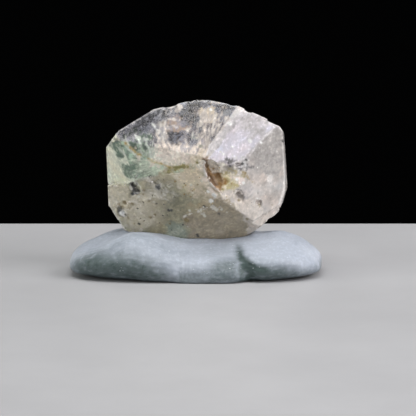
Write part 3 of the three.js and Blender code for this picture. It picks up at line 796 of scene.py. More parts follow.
def fine_copy(node: str, voxel: float) -> bpy.types.Mesh:
    """A fine, even mesh of a CAD node.

    Args:
        node: the CAD node's name.
        voxel: the size of the mesh's squares in millimetres.

    Returns:
        A mesh of small squares in which flat faces stay exactly flat.
    """
    snap = 0.22 * voxel * MM
    tree = surface_of(node)
    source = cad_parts[node].data.copy()
    work = bmesh.new()
    work.from_mesh(source)
    bmesh.ops.remove_doubles(work, verts=work.verts, dist=SAME_PLACE)
    work.to_mesh(source)
    work.free()
    piece = add_piece(f"{node}_work", source, None)
    remesh = piece.modifiers.new("even", "REMESH")
    remesh.mode = "VOXEL"
    remesh.voxel_size = voxel * MM
    remesh.use_smooth_shade = True
    mesh = baked(piece)
    bpy.data.objects.remove(piece)
    points = metres(mesh)
    for index, row in enumerate(points.tolist()):
        nearest = tree.find_nearest(row, snap)[0]
        if nearest is not None:
            points[index] = nearest
    put_back(mesh, points)
    return mesh


class Nodes:
    """A small helper that lays out the nodes of one material or group."""

    def __init__(self, tree: bpy.types.NodeTree) -> None:
        """Keeps the node tree that nodes are added to."""
        self.tree = tree

    def add(self, kind: str, inputs: dict | None = None, **settings) -> bpy.types.Node:
        """Adds a node.

        Args:
            kind: the node's type name.
            inputs: a value or an output socket for each input, by name or index.
            settings: the node's own properties.

        Returns:
            The new node.
        """
        node = self.tree.nodes.new(kind)
        for key, value in settings.items():
            setattr(node, key, value)
        for key, value in (inputs or {}).items():
            if isinstance(value, bpy.types.NodeSocket):
                self.tree.links.new(value, node.inputs[key])
            else:
                node.inputs[key].default_value = value
        return node

    def maths(
        self, operation: str, first: object, second: object = 0.0, clamp: bool = False
    ) -> bpy.types.NodeSocket:
        """The result socket of one sum."""
        node = self.add("ShaderNodeMath", {0: first, 1: second}, operation=operation, use_clamp=clamp)
        return node.outputs[0]

    def blend(self, share: object, first: object, second: object) -> bpy.types.NodeSocket:
        """The result socket of a mix of two colours."""
        node = self.add("ShaderNodeMix", data_type="RGBA")
        for name, value in (("Factor_Float", share), ("A_Color", first), ("B_Color", second)):
            socket = next(each for each in node.inputs if each.identifier == name)
            if isinstance(value, bpy.types.NodeSocket):
                self.tree.links.new(value, socket)
            else:
                socket.default_value = value
        return next(each for each in node.outputs if each.identifier == "Result_Color")

    def scaled(self, colour: object, factor: object) -> bpy.types.NodeSocket:
        """The result socket of a colour made brighter or darker."""
        return self.add("ShaderNodeVectorMath", {0: colour, "Scale": factor}, operation="SCALE").outputs[0]

    def attribute(self, name: str, output: str = "Fac") -> bpy.types.NodeSocket:
        """The result socket of a value that is stored on the mesh."""
        return self.add("ShaderNodeAttribute", attribute_name=name).outputs[output]

    def roughen(self, shader: bpy.types.Node, height: object, strength: float, depth: float) -> None:
        """Gives a shader's surface a fine relief, its depth in millimetres."""
        inputs = {"Height": height, "Strength": strength, "Distance": depth * MM}
        bump = self.add("ShaderNodeBump", inputs)
        self.tree.links.new(bump.outputs["Normal"], shader.inputs["Normal"])

    def ramp(self, value: object, low: float, high: float) -> bpy.types.NodeSocket:
        """The result socket of a soft step from low to high."""
        inputs = {"Value": value, "From Min": low, "From Max": high}
        return self.add("ShaderNodeMapRange", inputs, interpolation_type="SMOOTHSTEP").outputs["Result"]


def rgba(colour: Colour) -> tuple[float, float, float, float]:
    """A colour with full opacity."""
    return (*colour, 1.0)


class Effect(Enum):
    """The shader groups that several finishes share."""

    GRAIN = "surface_grain"
    MOTTLE = "mottle"


def effect_group(effect: Effect) -> bpy.types.NodeTree:
    """Builds a shared shader group once and returns it.

    Args:
        effect: which group.

    Returns:
        The group, with inputs Scale, Detail, Edge and Softness and the output Value.
    """
    ready = bpy.data.node_groups.get(effect.value)
    if ready is not None:
        return ready
    group = bpy.data.node_groups.new(effect.value, "ShaderNodeTree")
    face = group.interface
    for name, value in (("Scale", 900.0), ("Detail", 4.0), ("Edge", 0.5), ("Softness", 0.1)):
        socket = face.new_socket(name=name, in_out="INPUT", socket_type="NodeSocketFloat")
        socket.default_value = value
    face.new_socket(name="Value", in_out="OUTPUT", socket_type="NodeSocketFloat")
    nodes = Nodes(group)
    given = nodes.add("NodeGroupInput").outputs
    place = nodes.add("ShaderNodeTexCoord").outputs["Object"]
    cloud = nodes.add(
        "ShaderNodeTexNoise",
        {"Vector": place, "Scale": given["Scale"], "Detail": given["Detail"], "Roughness": 0.62},
    ).outputs[0]
    if effect is Effect.GRAIN:
        cells = nodes.add(
            "ShaderNodeTexVoronoi", {"Vector": place, "Scale": given["Scale"]}, feature="SMOOTH_F1"
        ).outputs["Distance"]
        value = nodes.maths("ADD", nodes.maths("MULTIPLY", cells, given["Edge"]), cloud)
    else:
        low = nodes.maths("SUBTRACT", given["Edge"], given["Softness"])
        high = nodes.maths("ADD", given["Edge"], given["Softness"])
        step = nodes.add(
            "ShaderNodeMapRange",
            {"Value": cloud, "From Min": low, "From Max": high},
            interpolation_type="SMOOTHSTEP",
        )
        value = step.outputs["Result"]
    nodes.add("NodeGroupOutput", {"Value": value})
    return group


def use_effect(
    nodes: Nodes, effect: Effect, scale: float, detail: float, edge: float, softness: float = 0.1
) -> bpy.types.NodeSocket:
    """Places a shared group in a material and returns its output socket.

    Args:
        nodes: the material's nodes.
        effect: which group.
        scale: pattern repeats for each metre.
        detail: number of finer layers.
        edge: where the mask turns on, or how strong the cells are.
        softness: half the width of the mask's edge.

    Returns:
        The output socket.
    """
    node = nodes.tree.nodes.new("ShaderNodeGroup")
    node.node_tree = effect_group(effect)
    for name, value in (("Scale", scale), ("Detail", detail), ("Edge", edge), ("Softness", softness)):
        node.inputs[name].default_value = value
    return node.outputs["Value"]


def new_material(name: str) -> tuple[bpy.types.Material, Nodes, bpy.types.Node]:
    """A new material with its node helper and its Principled shader."""
    material = bpy.data.materials.new(name)
    material.use_nodes = True
    nodes = Nodes(material.node_tree)
    shader = material.node_tree.nodes["Principled BSDF"]
    return material, nodes, shader


@dataclass(frozen=True)
class ClearCrystalFinish:
    """Clear phenakite: see-through, strongly refracting and faintly warm.

    Attributes:
        ior: phenakite's refractive index.
        absorption: the colour that thick crystal takes on.
        density: how fast the crystal takes on that colour, for each metre.
        polish: roughness of its smoothest faces.
        frost: roughness of its most etched faces.
        relief: depth of the fine etching in millimetres.
    """

    ior: float = 1.66
    absorption: Colour = (0.90, 0.88, 0.80)
    density: float = 22.0
    polish: float = 0.015
    frost: float = 0.34
    relief: float = 0.015

    def material(self) -> bpy.types.Material:
        """The glass-like material of the crystal's body."""
        made, nodes, shader = new_material("clear_phenakite")
        frosted = nodes.attribute("frost")
        grain = use_effect(nodes, Effect.GRAIN, scale=2600.0, detail=5.0, edge=0.8)
        shader.inputs["Base Color"].default_value = (0.97, 0.96, 0.95, 1.0)
        shader.inputs["IOR"].default_value = self.ior
        shader.inputs["Transmission Weight"].default_value = 1.0
        rough = nodes.add(
            "ShaderNodeMapRange", {"Value": frosted, "To Min": self.polish, "To Max": self.frost}
        ).outputs["Result"]
        made.node_tree.links.new(rough, shader.inputs["Roughness"])
        height = nodes.maths("MULTIPLY", grain, frosted)
        nodes.roughen(shader, height, 0.5, self.relief)
        depth = nodes.add(
            "ShaderNodeVolumeAbsorption", {"Color": rgba(self.absorption), "Density": self.density}
        )
        made.node_tree.links.new(depth.outputs[0], made.node_tree.nodes["Material Output"].inputs["Volume"])
        return made


@dataclass(frozen=True)
class FrostFinish:
    """The etched and dusty skin over the crystal's faces, which also carries painted shade and painted
    highlights.

    Attributes:
        relief: depth of the fine etching in millimetres.
        roughness: how matte the skin is.
    """

    relief: float = 0.02
    roughness: float = 0.42

    def material(self) -> bpy.types.Material:
        """A thin pale skin that lets the crystal show where its cover is thin."""
        made, nodes, shader = new_material("etched_skin")
        links = made.node_tree.links
        cover = nodes.attribute("cover")
        tint = nodes.attribute("tint", "Color")
        coarse = use_effect(nodes, Effect.MOTTLE, scale=900.0, detail=6.0, edge=0.5, softness=0.25)
        fine = use_effect(nodes, Effect.MOTTLE, scale=2600.0, detail=3.0, edge=0.6, softness=0.12)
        lighter = nodes.maths("MULTIPLY", fine, 0.18)
        darker = nodes.maths("MULTIPLY", coarse, -0.16)
        links.new(
            nodes.scaled(tint, nodes.maths("ADD", nodes.maths("ADD", lighter, darker), 1.0)),
            shader.inputs["Base Color"],
        )
        wobble = nodes.maths("SUBTRACT", nodes.maths("MULTIPLY", coarse, 0.2), 0.1)
        dots = nodes.maths("SUBTRACT", nodes.maths("MULTIPLY", fine, 0.16), 0.08)
        mottling = nodes.maths("MULTIPLY", nodes.maths("ADD", wobble, dots), nodes.ramp(cover, 0.1, 0.7))
        links.new(nodes.maths("ADD", cover, mottling, clamp=True), shader.inputs["Alpha"])
        shader.inputs["Roughness"].default_value = self.roughness
        shader.inputs["IOR"].default_value = 1.5
        gloss = nodes.attribute("gloss")
        links.new(nodes.maths("MULTIPLY", gloss, 0.6), shader.inputs["Coat Weight"])
        shader.inputs["Coat Roughness"].default_value = 0.14
        grain = use_effect(nodes, Effect.GRAIN, scale=1500.0, detail=4.0, edge=0.9)
        nodes.roughen(shader, grain, 0.4, self.relief)
        return made


@dataclass(frozen=True)
class VeilFinish:
    """A healed fracture inside the crystal: a feathery sheet of tiny bubbles; its darkest use is a sheet of
    painted shade instead.

    Attributes:
        name: the material's name.
        colour: the sheet's own colour.
        scale: size of its feathers, as repeats for each metre.
        edge: how much of the sheet is empty, from 0 to 1.
        strength: the opacity of the full parts.
    """

    name: str
    colour: Colour
    scale: float = 900.0
    edge: float = 0.52
    strength: float = 0.8

    def material(self) -> bpy.types.Material:
        """A pale sheet broken into feathers by its opacity."""
        made, nodes, shader = new_material(self.name)
        links = made.node_tree.links
        thick = nodes.attribute("thick")
        feathers = use_effect(
            nodes, Effect.MOTTLE, scale=self.scale, detail=7.0, edge=self.edge, softness=0.07
        )
        dots = use_effect(nodes, Effect.MOTTLE, scale=self.scale * 5.0, detail=3.0, edge=0.5, softness=0.12)
        thinned = nodes.maths("ADD", nodes.maths("MULTIPLY", dots, 0.5), 0.5)
        body = nodes.maths("MULTIPLY", feathers, thinned)
        alpha = nodes.maths("MULTIPLY", nodes.maths("MULTIPLY", body, thick), self.strength, clamp=True)
        links.new(alpha, shader.inputs["Alpha"])
        pale = tuple(min(1.0, channel * 1.25) for channel in self.colour)
        links.new(nodes.blend(dots, rgba(self.colour), rgba(pale)), shader.inputs["Base Color"])
        shader.inputs["Roughness"].default_value = 0.5
        return made


@dataclass(frozen=True)
class SpeckFinish:
    """A grain enclosed in the crystal or stuck to the putty.

    Attributes:
        name: the material's name.
        colour: its darker colour.
        light: its lighter colour.
        roughness: how matte it is.
    """

    name: str
    colour: Colour
    light: Colour
    roughness: float = 0.4

    def material(self) -> bpy.types.Material:
        """A two-tone grain."""
        made, nodes, shader = new_material(self.name)
        mask = use_effect(nodes, Effect.MOTTLE, scale=3000.0, detail=3.0, edge=0.5, softness=0.15)
        tone = nodes.blend(mask, rgba(self.colour), rgba(self.light))
        made.node_tree.links.new(tone, shader.inputs["Base Color"])
        shader.inputs["Roughness"].default_value = self.roughness
        return made


@dataclass(frozen=True)
class PuttyFinish:
    """Pale blue-grey mounting putty with a satin, finger-pressed surface.

    Attributes:
        light: its own colour, kept on its lit upper parts.
        deep: painted shade: the darker, greener colour painted on its lower parts, hollows and creases,
            where the top light doesn't reach.
        roughness: how matte it is.
        relief: depth of its fine grain in millimetres.
    """

    light: Colour = (0.375, 0.412, 0.475)
    deep: Colour = (0.05, 0.078, 0.074)
    roughness: float = 0.5
    relief: float = 0.05

    def material(self) -> bpy.types.Material:
        """The putty's material."""
        made, nodes, shader = new_material("pale_blue_putty")
        links = made.node_tree.links
        hollow = nodes.attribute("hollow")
        cloud = use_effect(nodes, Effect.MOTTLE, scale=420.0, detail=6.0, edge=0.5, softness=0.2)
        fine = use_effect(nodes, Effect.MOTTLE, scale=2600.0, detail=4.0, edge=0.56, softness=0.08)
        # Painted shade: the value stored on the mesh blends the lit colour towards the deep colour on the
        # lower parts, hollows and creases.
        base = nodes.blend(hollow, rgba(self.light), rgba(self.deep))
        open_part = nodes.maths("SUBTRACT", 1.0, hollow)
        clouds = nodes.maths("MULTIPLY", nodes.maths("MULTIPLY", cloud, 0.3), open_part)
        cloudy = nodes.blend(clouds, base, (0.43, 0.46, 0.52, 1.0))
        flecks = nodes.maths("ADD", nodes.maths("MULTIPLY", fine, 0.14), 0.96)
        flecked = nodes.scaled(cloudy, flecks)
        links.new(flecked, shader.inputs["Base Color"])
        rough = nodes.add(
            "ShaderNodeMapRange",
            {"Value": cloud, "To Min": self.roughness - 0.08, "To Max": self.roughness + 0.12},
        )
        links.new(rough.outputs["Result"], shader.inputs["Roughness"])
        shader.inputs["Subsurface Weight"].default_value = 0.12
        shader.inputs["Subsurface Radius"].default_value = (0.9, 1.0, 1.1)
        shader.inputs["Subsurface Scale"].default_value = 0.0006
        grain = use_effect(nodes, Effect.GRAIN, scale=1500.0, detail=8.0, edge=0.35)
        nodes.roughen(shader, grain, 0.45, self.relief)
        return made


@dataclass
class Crystal:
    """The phenakite's body and the etched skin over its faces.

    Attributes:
        centre: the crystal's centre.
        voxel: size of the fine mesh's squares.
        chip_depth: how deep the edges are chipped.
        nick_depth: how deep the small nicks between the chips are.
        ripple: how far the etched faces rise and fall.
        face_blend: how sharply one face's frosting gives way to the next one's.
        slope_weight: how much a place's slope counts against its distance from a face's plane.
        scratch_run: the direction of the fine scratches on the right face, across and up.
        scratch_start: how far across the scratches begin.
        colour_drift: how red, green and blue wander over the faces.
        skin_lift: how far the skin stands off the body.
        pit: centre, half width and half height of the stained pit, seen from the front.
        pit_lean: how far the pit leans over as it rises.
        pit_tint_with_painted_light: the colour of the pit's bare walls, made paler than their own as
            painted light against the shade inside the pit.
        wear_and_highlight_tint: the pale colour on the edges, partly their real wear and partly painted
            highlight.
        most_cover: the skin's cover at its thickest.
    """

    centre: Place = (0.1, 0.0, 12.3)
    voxel: float = 0.105
    chip_depth: float = 0.24
    nick_depth: float = 0.05
    ripple: float = 0.012
    face_blend: float = 20.0
    slope_weight: float = 3.0
    scratch_run: Point = (0.56, 0.83)
    scratch_start: float = 1.0
    colour_drift: Colour = (-0.07, 0.01, 0.07)
    skin_lift: float = 0.012
    pit: tuple[float, float, float, float] = (2.7, 12.0, 1.7, 2.3)
    pit_lean: float = 0.45
    pit_tint_with_painted_light: Colour = (0.84, 0.78, 0.68)
    wear_and_highlight_tint: Colour = (0.88, 0.84, 0.80)
    most_cover: float = 0.97

    def chip_edges(self, mesh: bpy.types.Mesh) -> np.ndarray:
        """Chips the sharp edges and etches the faces.

        Args:
            mesh: the crystal's fine mesh, changed in place.

        Returns:
            How near each vertex is to an edge, from 0 to 1.
        """
        points, normals = metres(mesh) / MM, vertex_normals(mesh)
        blurred = spread(mesh, normals, 7)
        edge = smoothstep(0.004, 0.12, 1.0 - np.linalg.norm(blurred, axis=1))
        outward = np.einsum("ij,ij->i", points - np.array(self.centre), blurred) > 0
        bites = smoothstep(0.05, 0.5, turbulence(points, 0.9, 4, 1.0))
        nicks = smoothstep(0.0, 0.5, turbulence(points, 0.3, 3, 2.0))
        depth = edge * outward * (self.chip_depth * bites + self.nick_depth * nicks)
        ripple = self.ripple * turbulence(points, 0.7, 3, 3.0)
        put_back(mesh, (points - normals * depth[:, None] + normals * ripple[:, None]) * MM)
        return edge

    def share_out(
        self, local: np.ndarray, normals: np.ndarray, blurred: np.ndarray
    ) -> tuple[np.ndarray, np.ndarray, np.ndarray]:
        """Shares every place out among the crystal's faces.

        Args:
            local: the vertices' places from the crystal's centre.
            normals: the vertices' normals.
            blurred: the same normals, averaged with their neighbours'.

        Returns:
            The share of each face in each vertex, how far each vertex is on the front, and how far it
            is on the front and off its faces' planes, as in the pit and the ledges.
        """
        planes = np.array([facet.normal() for facet in DRESSINGS])
        reach = np.array([facet.reach() for facet in DRESSINGS])
        beyond = -np.abs(local @ planes.T - reach)
        front = smoothstep(0.4, 0.1, normals[:, 1]) * smoothstep(0.6, 0.0, local[:, 1])
        sunk = front * smoothstep(0.1, 0.35, -beyond.max(axis=1))
        slopes = blurred @ planes.T - 1.0
        closeness = 0.9 * beyond + slopes * (self.slope_weight * (1.0 - 0.9 * sunk))[:, None]
        share = np.exp(closeness * self.face_blend)
        share /= share.sum(axis=1, keepdims=True)
        return share, front, sunk

    def dress(self, mesh: bpy.types.Mesh, edge: np.ndarray) -> None:
        """Writes how frosted, covered and tinted each place of the crystal is.

        Args:
            mesh: the crystal's fine mesh.
            edge: how near each vertex is to an edge.
        """
        points, normals = metres(mesh) / MM, vertex_normals(mesh)
        local = points - np.array(self.centre)
        share, front, sunk = self.share_out(local, normals, spread(mesh, normals, 2))
        cover = share @ np.array([dressing.cover for dressing in DRESSINGS.values()])
        breakup = share @ np.array([dressing.breakup for dressing in DRESSINGS.values()])
        tint = share @ np.array([dressing.tint for dressing in DRESSINGS.values()])
        frost = np.clip(cover * 1.1 - 0.12, 0.0, 1.0)

        # The frosting's own unevenness.
        coarse = turbulence(points, 2.6, 4, 4.0)
        fine = turbulence(points, 0.7, 5, 5.0)
        sugar = turbulence(points, 0.3, 3, 9.0)
        cover = cover + breakup * (0.9 * coarse + 0.7 * fine + 0.5 * sugar)
        across, up = front_view(points)
        run, rise = self.scratch_run
        lengthways, sideways = run * across + rise * up, rise * across - run * up
        scratches = turbulence(np.c_[lengthways * 0.35, sideways * 2.4, points[:, 1]], 1.0, 4, 8.0)
        on_right = front * (across > self.scratch_start)
        mottling = 0.38 * coarse + 0.20 * fine + 0.12 * sugar + 0.16 * scratches * on_right
        evenness = np.clip(1.5 - 1.5 * tint.mean(axis=1), 0.35, 1.0)
        tint = tint * (1.0 + mottling * evenness)[:, None]
        drift = turbulence(points, 1.8, 4, 10.0)
        tint = tint * (1.0 + drift[:, None] * np.array(self.colour_drift))

        # The pit and the ledges, and then the marks, each over the one before it.
        cover = cover + sunk * (0.9 - cover)
        x, z, wide, tall = self.pit
        inside = np.hypot((across - x + self.pit_lean * (up - z)) / wide, (up - z) / tall)
        in_pit = front * sunk * smoothstep(1.2, 1.0, inside)
        # Painted light: the pit's walls get their bare colour made paler, to make up for the shade inside
        # the pit.
        shade = np.array(self.pit_tint_with_painted_light) * (1.0 + 0.4 * fine)[:, None]
        tint = tint + in_pit[:, None] * (shade - tint)
        wander = turbulence(points, 1.3, 4, 6.0) + 0.45 * fine + 0.3 * sugar
        grain = (1.0 + 0.22 * fine + 0.12 * coarse + 0.24 * sugar)[:, None]
        for mark in MARKS:
            shown = front * mark.mask(across, up, wander, fine + 0.6 * sugar)
            cover = cover + shown * (mark.cover - cover)
            tint = tint + shown[:, None] * (np.array(mark.tint) * grain - tint)

        # The rims of the hollows, and the edges made paler, partly by real wear and partly by painted
        # highlight.
        rim = np.clip(4.0 * spread(mesh, sunk, 7), 0.0, 1.0)
        cover = cover + rim * np.maximum(0.0, 0.92 - cover)
        wear_and_highlight = edge * smoothstep(-0.35, 0.3, fine + 0.2) * (1.0 - 0.8 * rim)
        cover = cover + 0.5 * wear_and_highlight * (1.0 - cover)
        tint = tint + (0.6 * wear_and_highlight)[:, None] * (np.array(self.wear_and_highlight_tint) - tint)
        write_number(mesh, "gloss", 1.0 - 0.95 * rim)
        write_number(mesh, "frost", frost)
        write_number(mesh, "cover", np.clip(cover, 0.0, self.most_cover))
        write_colour(mesh, "tint", tint)

    def build(self) -> None:
        """Builds the body and its skin."""
        mesh = fine_copy("crystal", self.voxel)
        edge = self.chip_edges(mesh)
        self.dress(mesh, edge)
        skin_mesh = mesh.copy()
        lift = vertex_normals(skin_mesh) * self.skin_lift * MM
        put_back(skin_mesh, metres(skin_mesh) + lift)
        body = add_piece("crystal_body", mesh, ClearCrystalFinish().material())
        skin = add_piece("crystal_skin", skin_mesh, FrostFinish().material())
        for piece in (body, skin):
            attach(piece, BODY)
        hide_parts("crystal")
        log.info("crystal: %d faces in the body and in its skin", len(mesh.polygons))


@dataclass(frozen=True)
class Sheet:
    """One sheet inside the crystal: a healed fracture, except for one dark sheet of painted shade.

    Attributes:
        name: the piece's name.
        centre: the sheet's middle, from the crystal's centre.
        looks: azimuth and tilt of its normal, as a face's.
        half: its half sizes, along its width and its height.
        turn: how far it turns in its own plane, in degrees.
        finish: its look.
        warp: how far it curves out of its plane.
    """

    name: str
    centre: Place
    looks: Point
    half: Point
    turn: float
    finish: VeilFinish
    warp: float = 0.5


PINK_VEIL = VeilFinish("pink_veil", (0.80, 0.68, 0.62), 620.0, 0.50, 0.9)
WHITE_VEIL = VeilFinish("white_veil", (0.86, 0.85, 0.84), 900.0, 0.50, 0.9)
# Painted shade: a dark sheet that stands in for the dark room seen through the clear window, not a
# fracture.
PAINTED_SHADE_VEIL = VeilFinish("smoky_veil", (0.035, 0.036, 0.042), 240.0, 0.28, 0.78)
GREEN_VEIL = VeilFinish("green_veil", (0.62, 0.74, 0.64), 900.0, 0.50, 0.7)
TAN_VEIL = VeilFinish("tan_veil", (0.62, 0.54, 0.42), 700.0, 0.46, 0.8)

SHEETS: list[Sheet] = [
    Sheet("veil_cloud", (-1.2, -3.4, 2.4), (112.0, 20.0), (4.4, 2.4), 8.0, PINK_VEIL, 0.6),
    Sheet("veil_upper", (0.2, -2.6, 5.2), (112.0, 34.0), (6.4, 3.4), 0.0, PINK_VEIL, 0.9),
    # Painted shade: the dark sheet behind the left part of the window.
    Sheet("veil_smoky", (-6.2, -1.2, 4.3), (112.0, 26.0), (5.0, 3.0), 24.0, PAINTED_SHADE_VEIL, 0.3),
    Sheet("veil_left", (-7.2, -1.6, 1.4), (205.0, 40.0), (2.6, 2.8), 10.0, GREEN_VEIL, 0.5),
    Sheet("veil_low", (-2.2, -2.0, -3.6), (250.0, 30.0), (6.6, 3.4), 0.0, TAN_VEIL, 0.8),
    Sheet("veil_right", (5.6, -1.6, 1.8), (-8.0, 30.0), (4.0, 5.0), 0.0, WHITE_VEIL, 0.7),
    Sheet("veil_deep", (0.8, 1.6, 0.4), (80.0, 12.0), (7.4, 6.2), 20.0, WHITE_VEIL, 1.2),
]


@dataclass
class Fractures:
    """The healed fractures inside the crystal, and one dark sheet of painted shade among them.

    Attributes:
        cells: squares along each side of a sheet.
        margin: how far inside the crystal's surface the sheets stop.
        thinnest: the thickness below which a sheet isn't there.
    """

    cells: int = 70
    margin: float = 0.25
    thinnest: float = 0.02

    def build(self) -> None:
        """Builds every sheet as its own piece."""
        materials: dict[str, bpy.types.Material] = {}
        body = surface_of("crystal")
        for number, sheet in enumerate(SHEETS):
            finish = sheet.finish
            if finish.name not in materials:
                materials[finish.name] = finish.material()
            mesh = self.sheet_mesh(sheet, number, body)
            piece = add_piece(sheet.name, mesh, materials[finish.name])
            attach(piece, BODY)
            log.info("%s: %d faces", sheet.name, len(mesh.polygons))

    def sheet_mesh(self, sheet: Sheet, number: int, body: BVHTree) -> bpy.types.Mesh:
        """A curved sheet, cut off where it would leave the crystal.

        Args:
            sheet: the fracture.
            number: its place in the list, which seeds its noise.
            body: the crystal's surface.

        Returns:
            The sheet's mesh, with its thickness at every vertex.
        """
        out = Vector(direction(*sheet.looks))
        side = Vector((0, 0, 1)).cross(out).normalized()
        turn = Matrix.Rotation(math.radians(sheet.turn), 3, "Z")
        place = Matrix((side, out.cross(side), out)).transposed() @ turn
        origin = Vector(Crystal.centre) + Vector(sheet.centre)
        steps = np.linspace(-1.0, 1.0, self.cells + 1)
        grid_u, grid_v = np.meshgrid(steps, steps)
        flat_points = np.c_[grid_u.ravel() * sheet.half[0], grid_v.ravel() * sheet.half[1]]
        seeded = np.c_[flat_points, np.full(len(flat_points), number * 7.7)]
        height = sheet.warp * turbulence(seeded, 4.5, 3, number + 11.0)
        height += 0.12 * turbulence(seeded, 0.9, 3, number + 21.0)
        rows = np.c_[flat_points, height] @ np.array(place).T + np.array(origin)
        radius = np.hypot(grid_u.ravel(), grid_v.ravel())
        ragged = radius + 0.35 * turbulence(seeded, 1.6, 4, number + 31.0)
        thick = smoothstep(1.0, 0.55, ragged)
        keep = np.ones(len(rows), bool)
        for index, row in enumerate((rows * MM).tolist()):
            nearest, normal, _, _ = body.find_nearest(row)
            keep[index] = (Vector(row) - nearest).dot(normal) < -self.margin * MM
        work = bmesh.new()
        layer = work.verts.layers.float.new("thick")
        made = [work.verts.new(row) for row in (rows * MM).tolist()]
        count = self.cells + 1
        for vertex, value in zip(made, thick):
            vertex[layer] = float(value)
        for j in range(self.cells):
            for i in range(self.cells):
                low, high = j * count + i, (j + 1) * count + i
                corners = [low, low + 1, high + 1, high]
                if all(keep[corner] and thick[corner] > self.thinnest for corner in corners):
                    work.faces.new([made[corner] for corner in corners])
        bmesh.ops.delete(work, geom=[v for v in made if not v.link_faces], context="VERTS")
        mesh = bpy.data.meshes.new(sheet.name)
        work.to_mesh(mesh)
        work.free()
        mesh.shade_smooth()
        return mesh


def scatter_group() -> bpy.types.NodeTree:
    """A geometry group that strews flattened grains over a surface.

    Returns:
        The group, with inputs Surface, Density, Seed, Smallest, Largest, Flatness and Material.
    """
    ready = bpy.data.node_groups.get("strewn_grains")
    if ready is not None:
        return ready
    group = bpy.data.node_groups.new("strewn_grains", "GeometryNodeTree")
    face = group.interface
    face.new_socket(name="Surface", in_out="INPUT", socket_type="NodeSocketGeometry")
    for name, kind, value in (
        ("Density", "NodeSocketFloat", 1e6),
        ("Seed", "NodeSocketInt", 1),
        ("Smallest", "NodeSocketFloat", 3e-5),
        ("Largest", "NodeSocketFloat", 1e-4),
        ("Flatness", "NodeSocketFloat", 0.4),
    ):
        face.new_socket(name=name, in_out="INPUT", socket_type=kind).default_value = value
    face.new_socket(name="Material", in_out="INPUT", socket_type="NodeSocketMaterial")
    face.new_socket(name="Grains", in_out="OUTPUT", socket_type="NodeSocketGeometry")
    nodes = Nodes(group)
    given = nodes.add("NodeGroupInput").outputs
    chance = nodes.add("GeometryNodeInputNamedAttribute", {"Name": "chance"}, data_type="FLOAT")
    density = nodes.maths("MULTIPLY", chance.outputs["Attribute"], given["Density"])
    strewn = nodes.add(
        "GeometryNodeDistributePointsOnFaces",
        {"Mesh": given["Surface"], "Density": density, "Seed": given["Seed"]},
    )
    grain = nodes.add("GeometryNodeMeshIcoSphere", {"Radius": 1.0, "Subdivisions": 2})
    sizes = nodes.add("FunctionNodeRandomValue", {"Seed": given["Seed"]}, data_type="FLOAT_VECTOR")
    low, high = [socket for socket in sizes.inputs if socket.type == "VECTOR"][:2]
    for size, socket in ((given["Smallest"], low), (given["Largest"], high)):
        thin = nodes.maths("MULTIPLY", size, given["Flatness"])
        box = nodes.add("ShaderNodeCombineXYZ", {"X": size, "Y": size, "Z": thin})
        group.links.new(box.outputs[0], socket)
    size = next(socket for socket in sizes.outputs if socket.type == "VECTOR")
    placed = nodes.add(
        "GeometryNodeInstanceOnPoints",
        {
            "Points": strewn.outputs["Points"],
            "Instance": grain.outputs["Mesh"],
            "Rotation": strewn.outputs["Rotation"],
            "Scale": size,
        },
    )
    solid = nodes.add("GeometryNodeRealizeInstances", {"Geometry": placed.outputs["Instances"]})
    lumps = nodes.add("ShaderNodeTexNoise", {"Scale": 9000.0, "Detail": 2.0}).outputs["Color"]
    centred = nodes.add("ShaderNodeVectorMath", {0: lumps, 1: (0.5, 0.5, 0.5)}, operation="SUBTRACT")
    shift = nodes.add("ShaderNodeVectorMath", {0: centred.outputs[0]}, operation="SCALE")
    group.links.new(given["Largest"], shift.inputs["Scale"])
    rough = nodes.add(
        "GeometryNodeSetPosition", {"Geometry": solid.outputs["Geometry"], "Offset": shift.outputs[0]}
    )
    painted = nodes.add(
        "GeometryNodeSetMaterial", {"Geometry": rough.outputs["Geometry"], "Material": given["Material"]}
    )
    nodes.add("NodeGroupOutput", {"Grains": painted.outputs["Geometry"]})
    return group


@dataclass(frozen=True)
class Strewn:
    """Grains strewn over a piece's surface.

    Attributes:
        name: the piece's name.
        host: the piece that they lie on.
        slot: the CAD node that they belong to; not used.
        centre: the middle of their patch, across and up from the front, in millimetres.
        half: the patch's half sizes in millimetres.
        count: grains for each square millimetre in the thick of the patch.
        sizes: the smallest and the largest half size in millimetres.
        finish: their look.
        seed: their random seed.
        flatness: how thick a grain is for its width.
    """

    name: str
    host: str
    slot: str
    centre: Point
    half: Point
    count: float
    sizes: Point
    finish: SpeckFinish
    seed: int
    flatness: float = 0.3

    def build(self) -> None:
        """Strews the grains and keeps them as one plain mesh."""
        mesh = bpy.data.objects[self.host].data.copy()
        points, normals = metres(mesh) / MM, vertex_normals(mesh)
        across, up = front_view(points)
        away = np.hypot((across - self.centre[0]) / self.half[0], (up - self.centre[1]) / self.half[1])
        patches = smoothstep(-0.1, 0.4, turbulence(points, 1.8, 3, self.seed + 50.0))
        chance = smoothstep(1.0, 0.6, away) * smoothstep(0.1, 0.4, -normals[:, 1]) * (0.15 + patches)
        write_number(mesh, "chance", chance)
        work = add_piece(f"{self.name}_work", mesh, None)
        strew = work.modifiers.new("strew", "NODES")
        strew.node_group = scatter_group()
        values = {
            "Density": self.count * 1e6,
            "Seed": self.seed,
            "Smallest": self.sizes[0] * MM,
            "Largest": self.sizes[1] * MM,
            "Flatness": self.flatness,
            "Material": self.finish.material(),
        }
        for socket in strew.node_group.interface.items_tree:
            if socket.name in values:
                strew[socket.identifier] = values[socket.name]
        grains = baked(work)
        bpy.data.objects.remove(work)
        for attribute in ("chance", "frost", "cover", "tint", "gloss", "hollow"):
            if attribute in grains.attributes:
                grains.attributes.remove(grains.attributes[attribute])
        piece = add_piece(self.name, grains, None)
        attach(piece, BODY)
        log.info("%s: %d faces", self.name, len(grains.polygons))


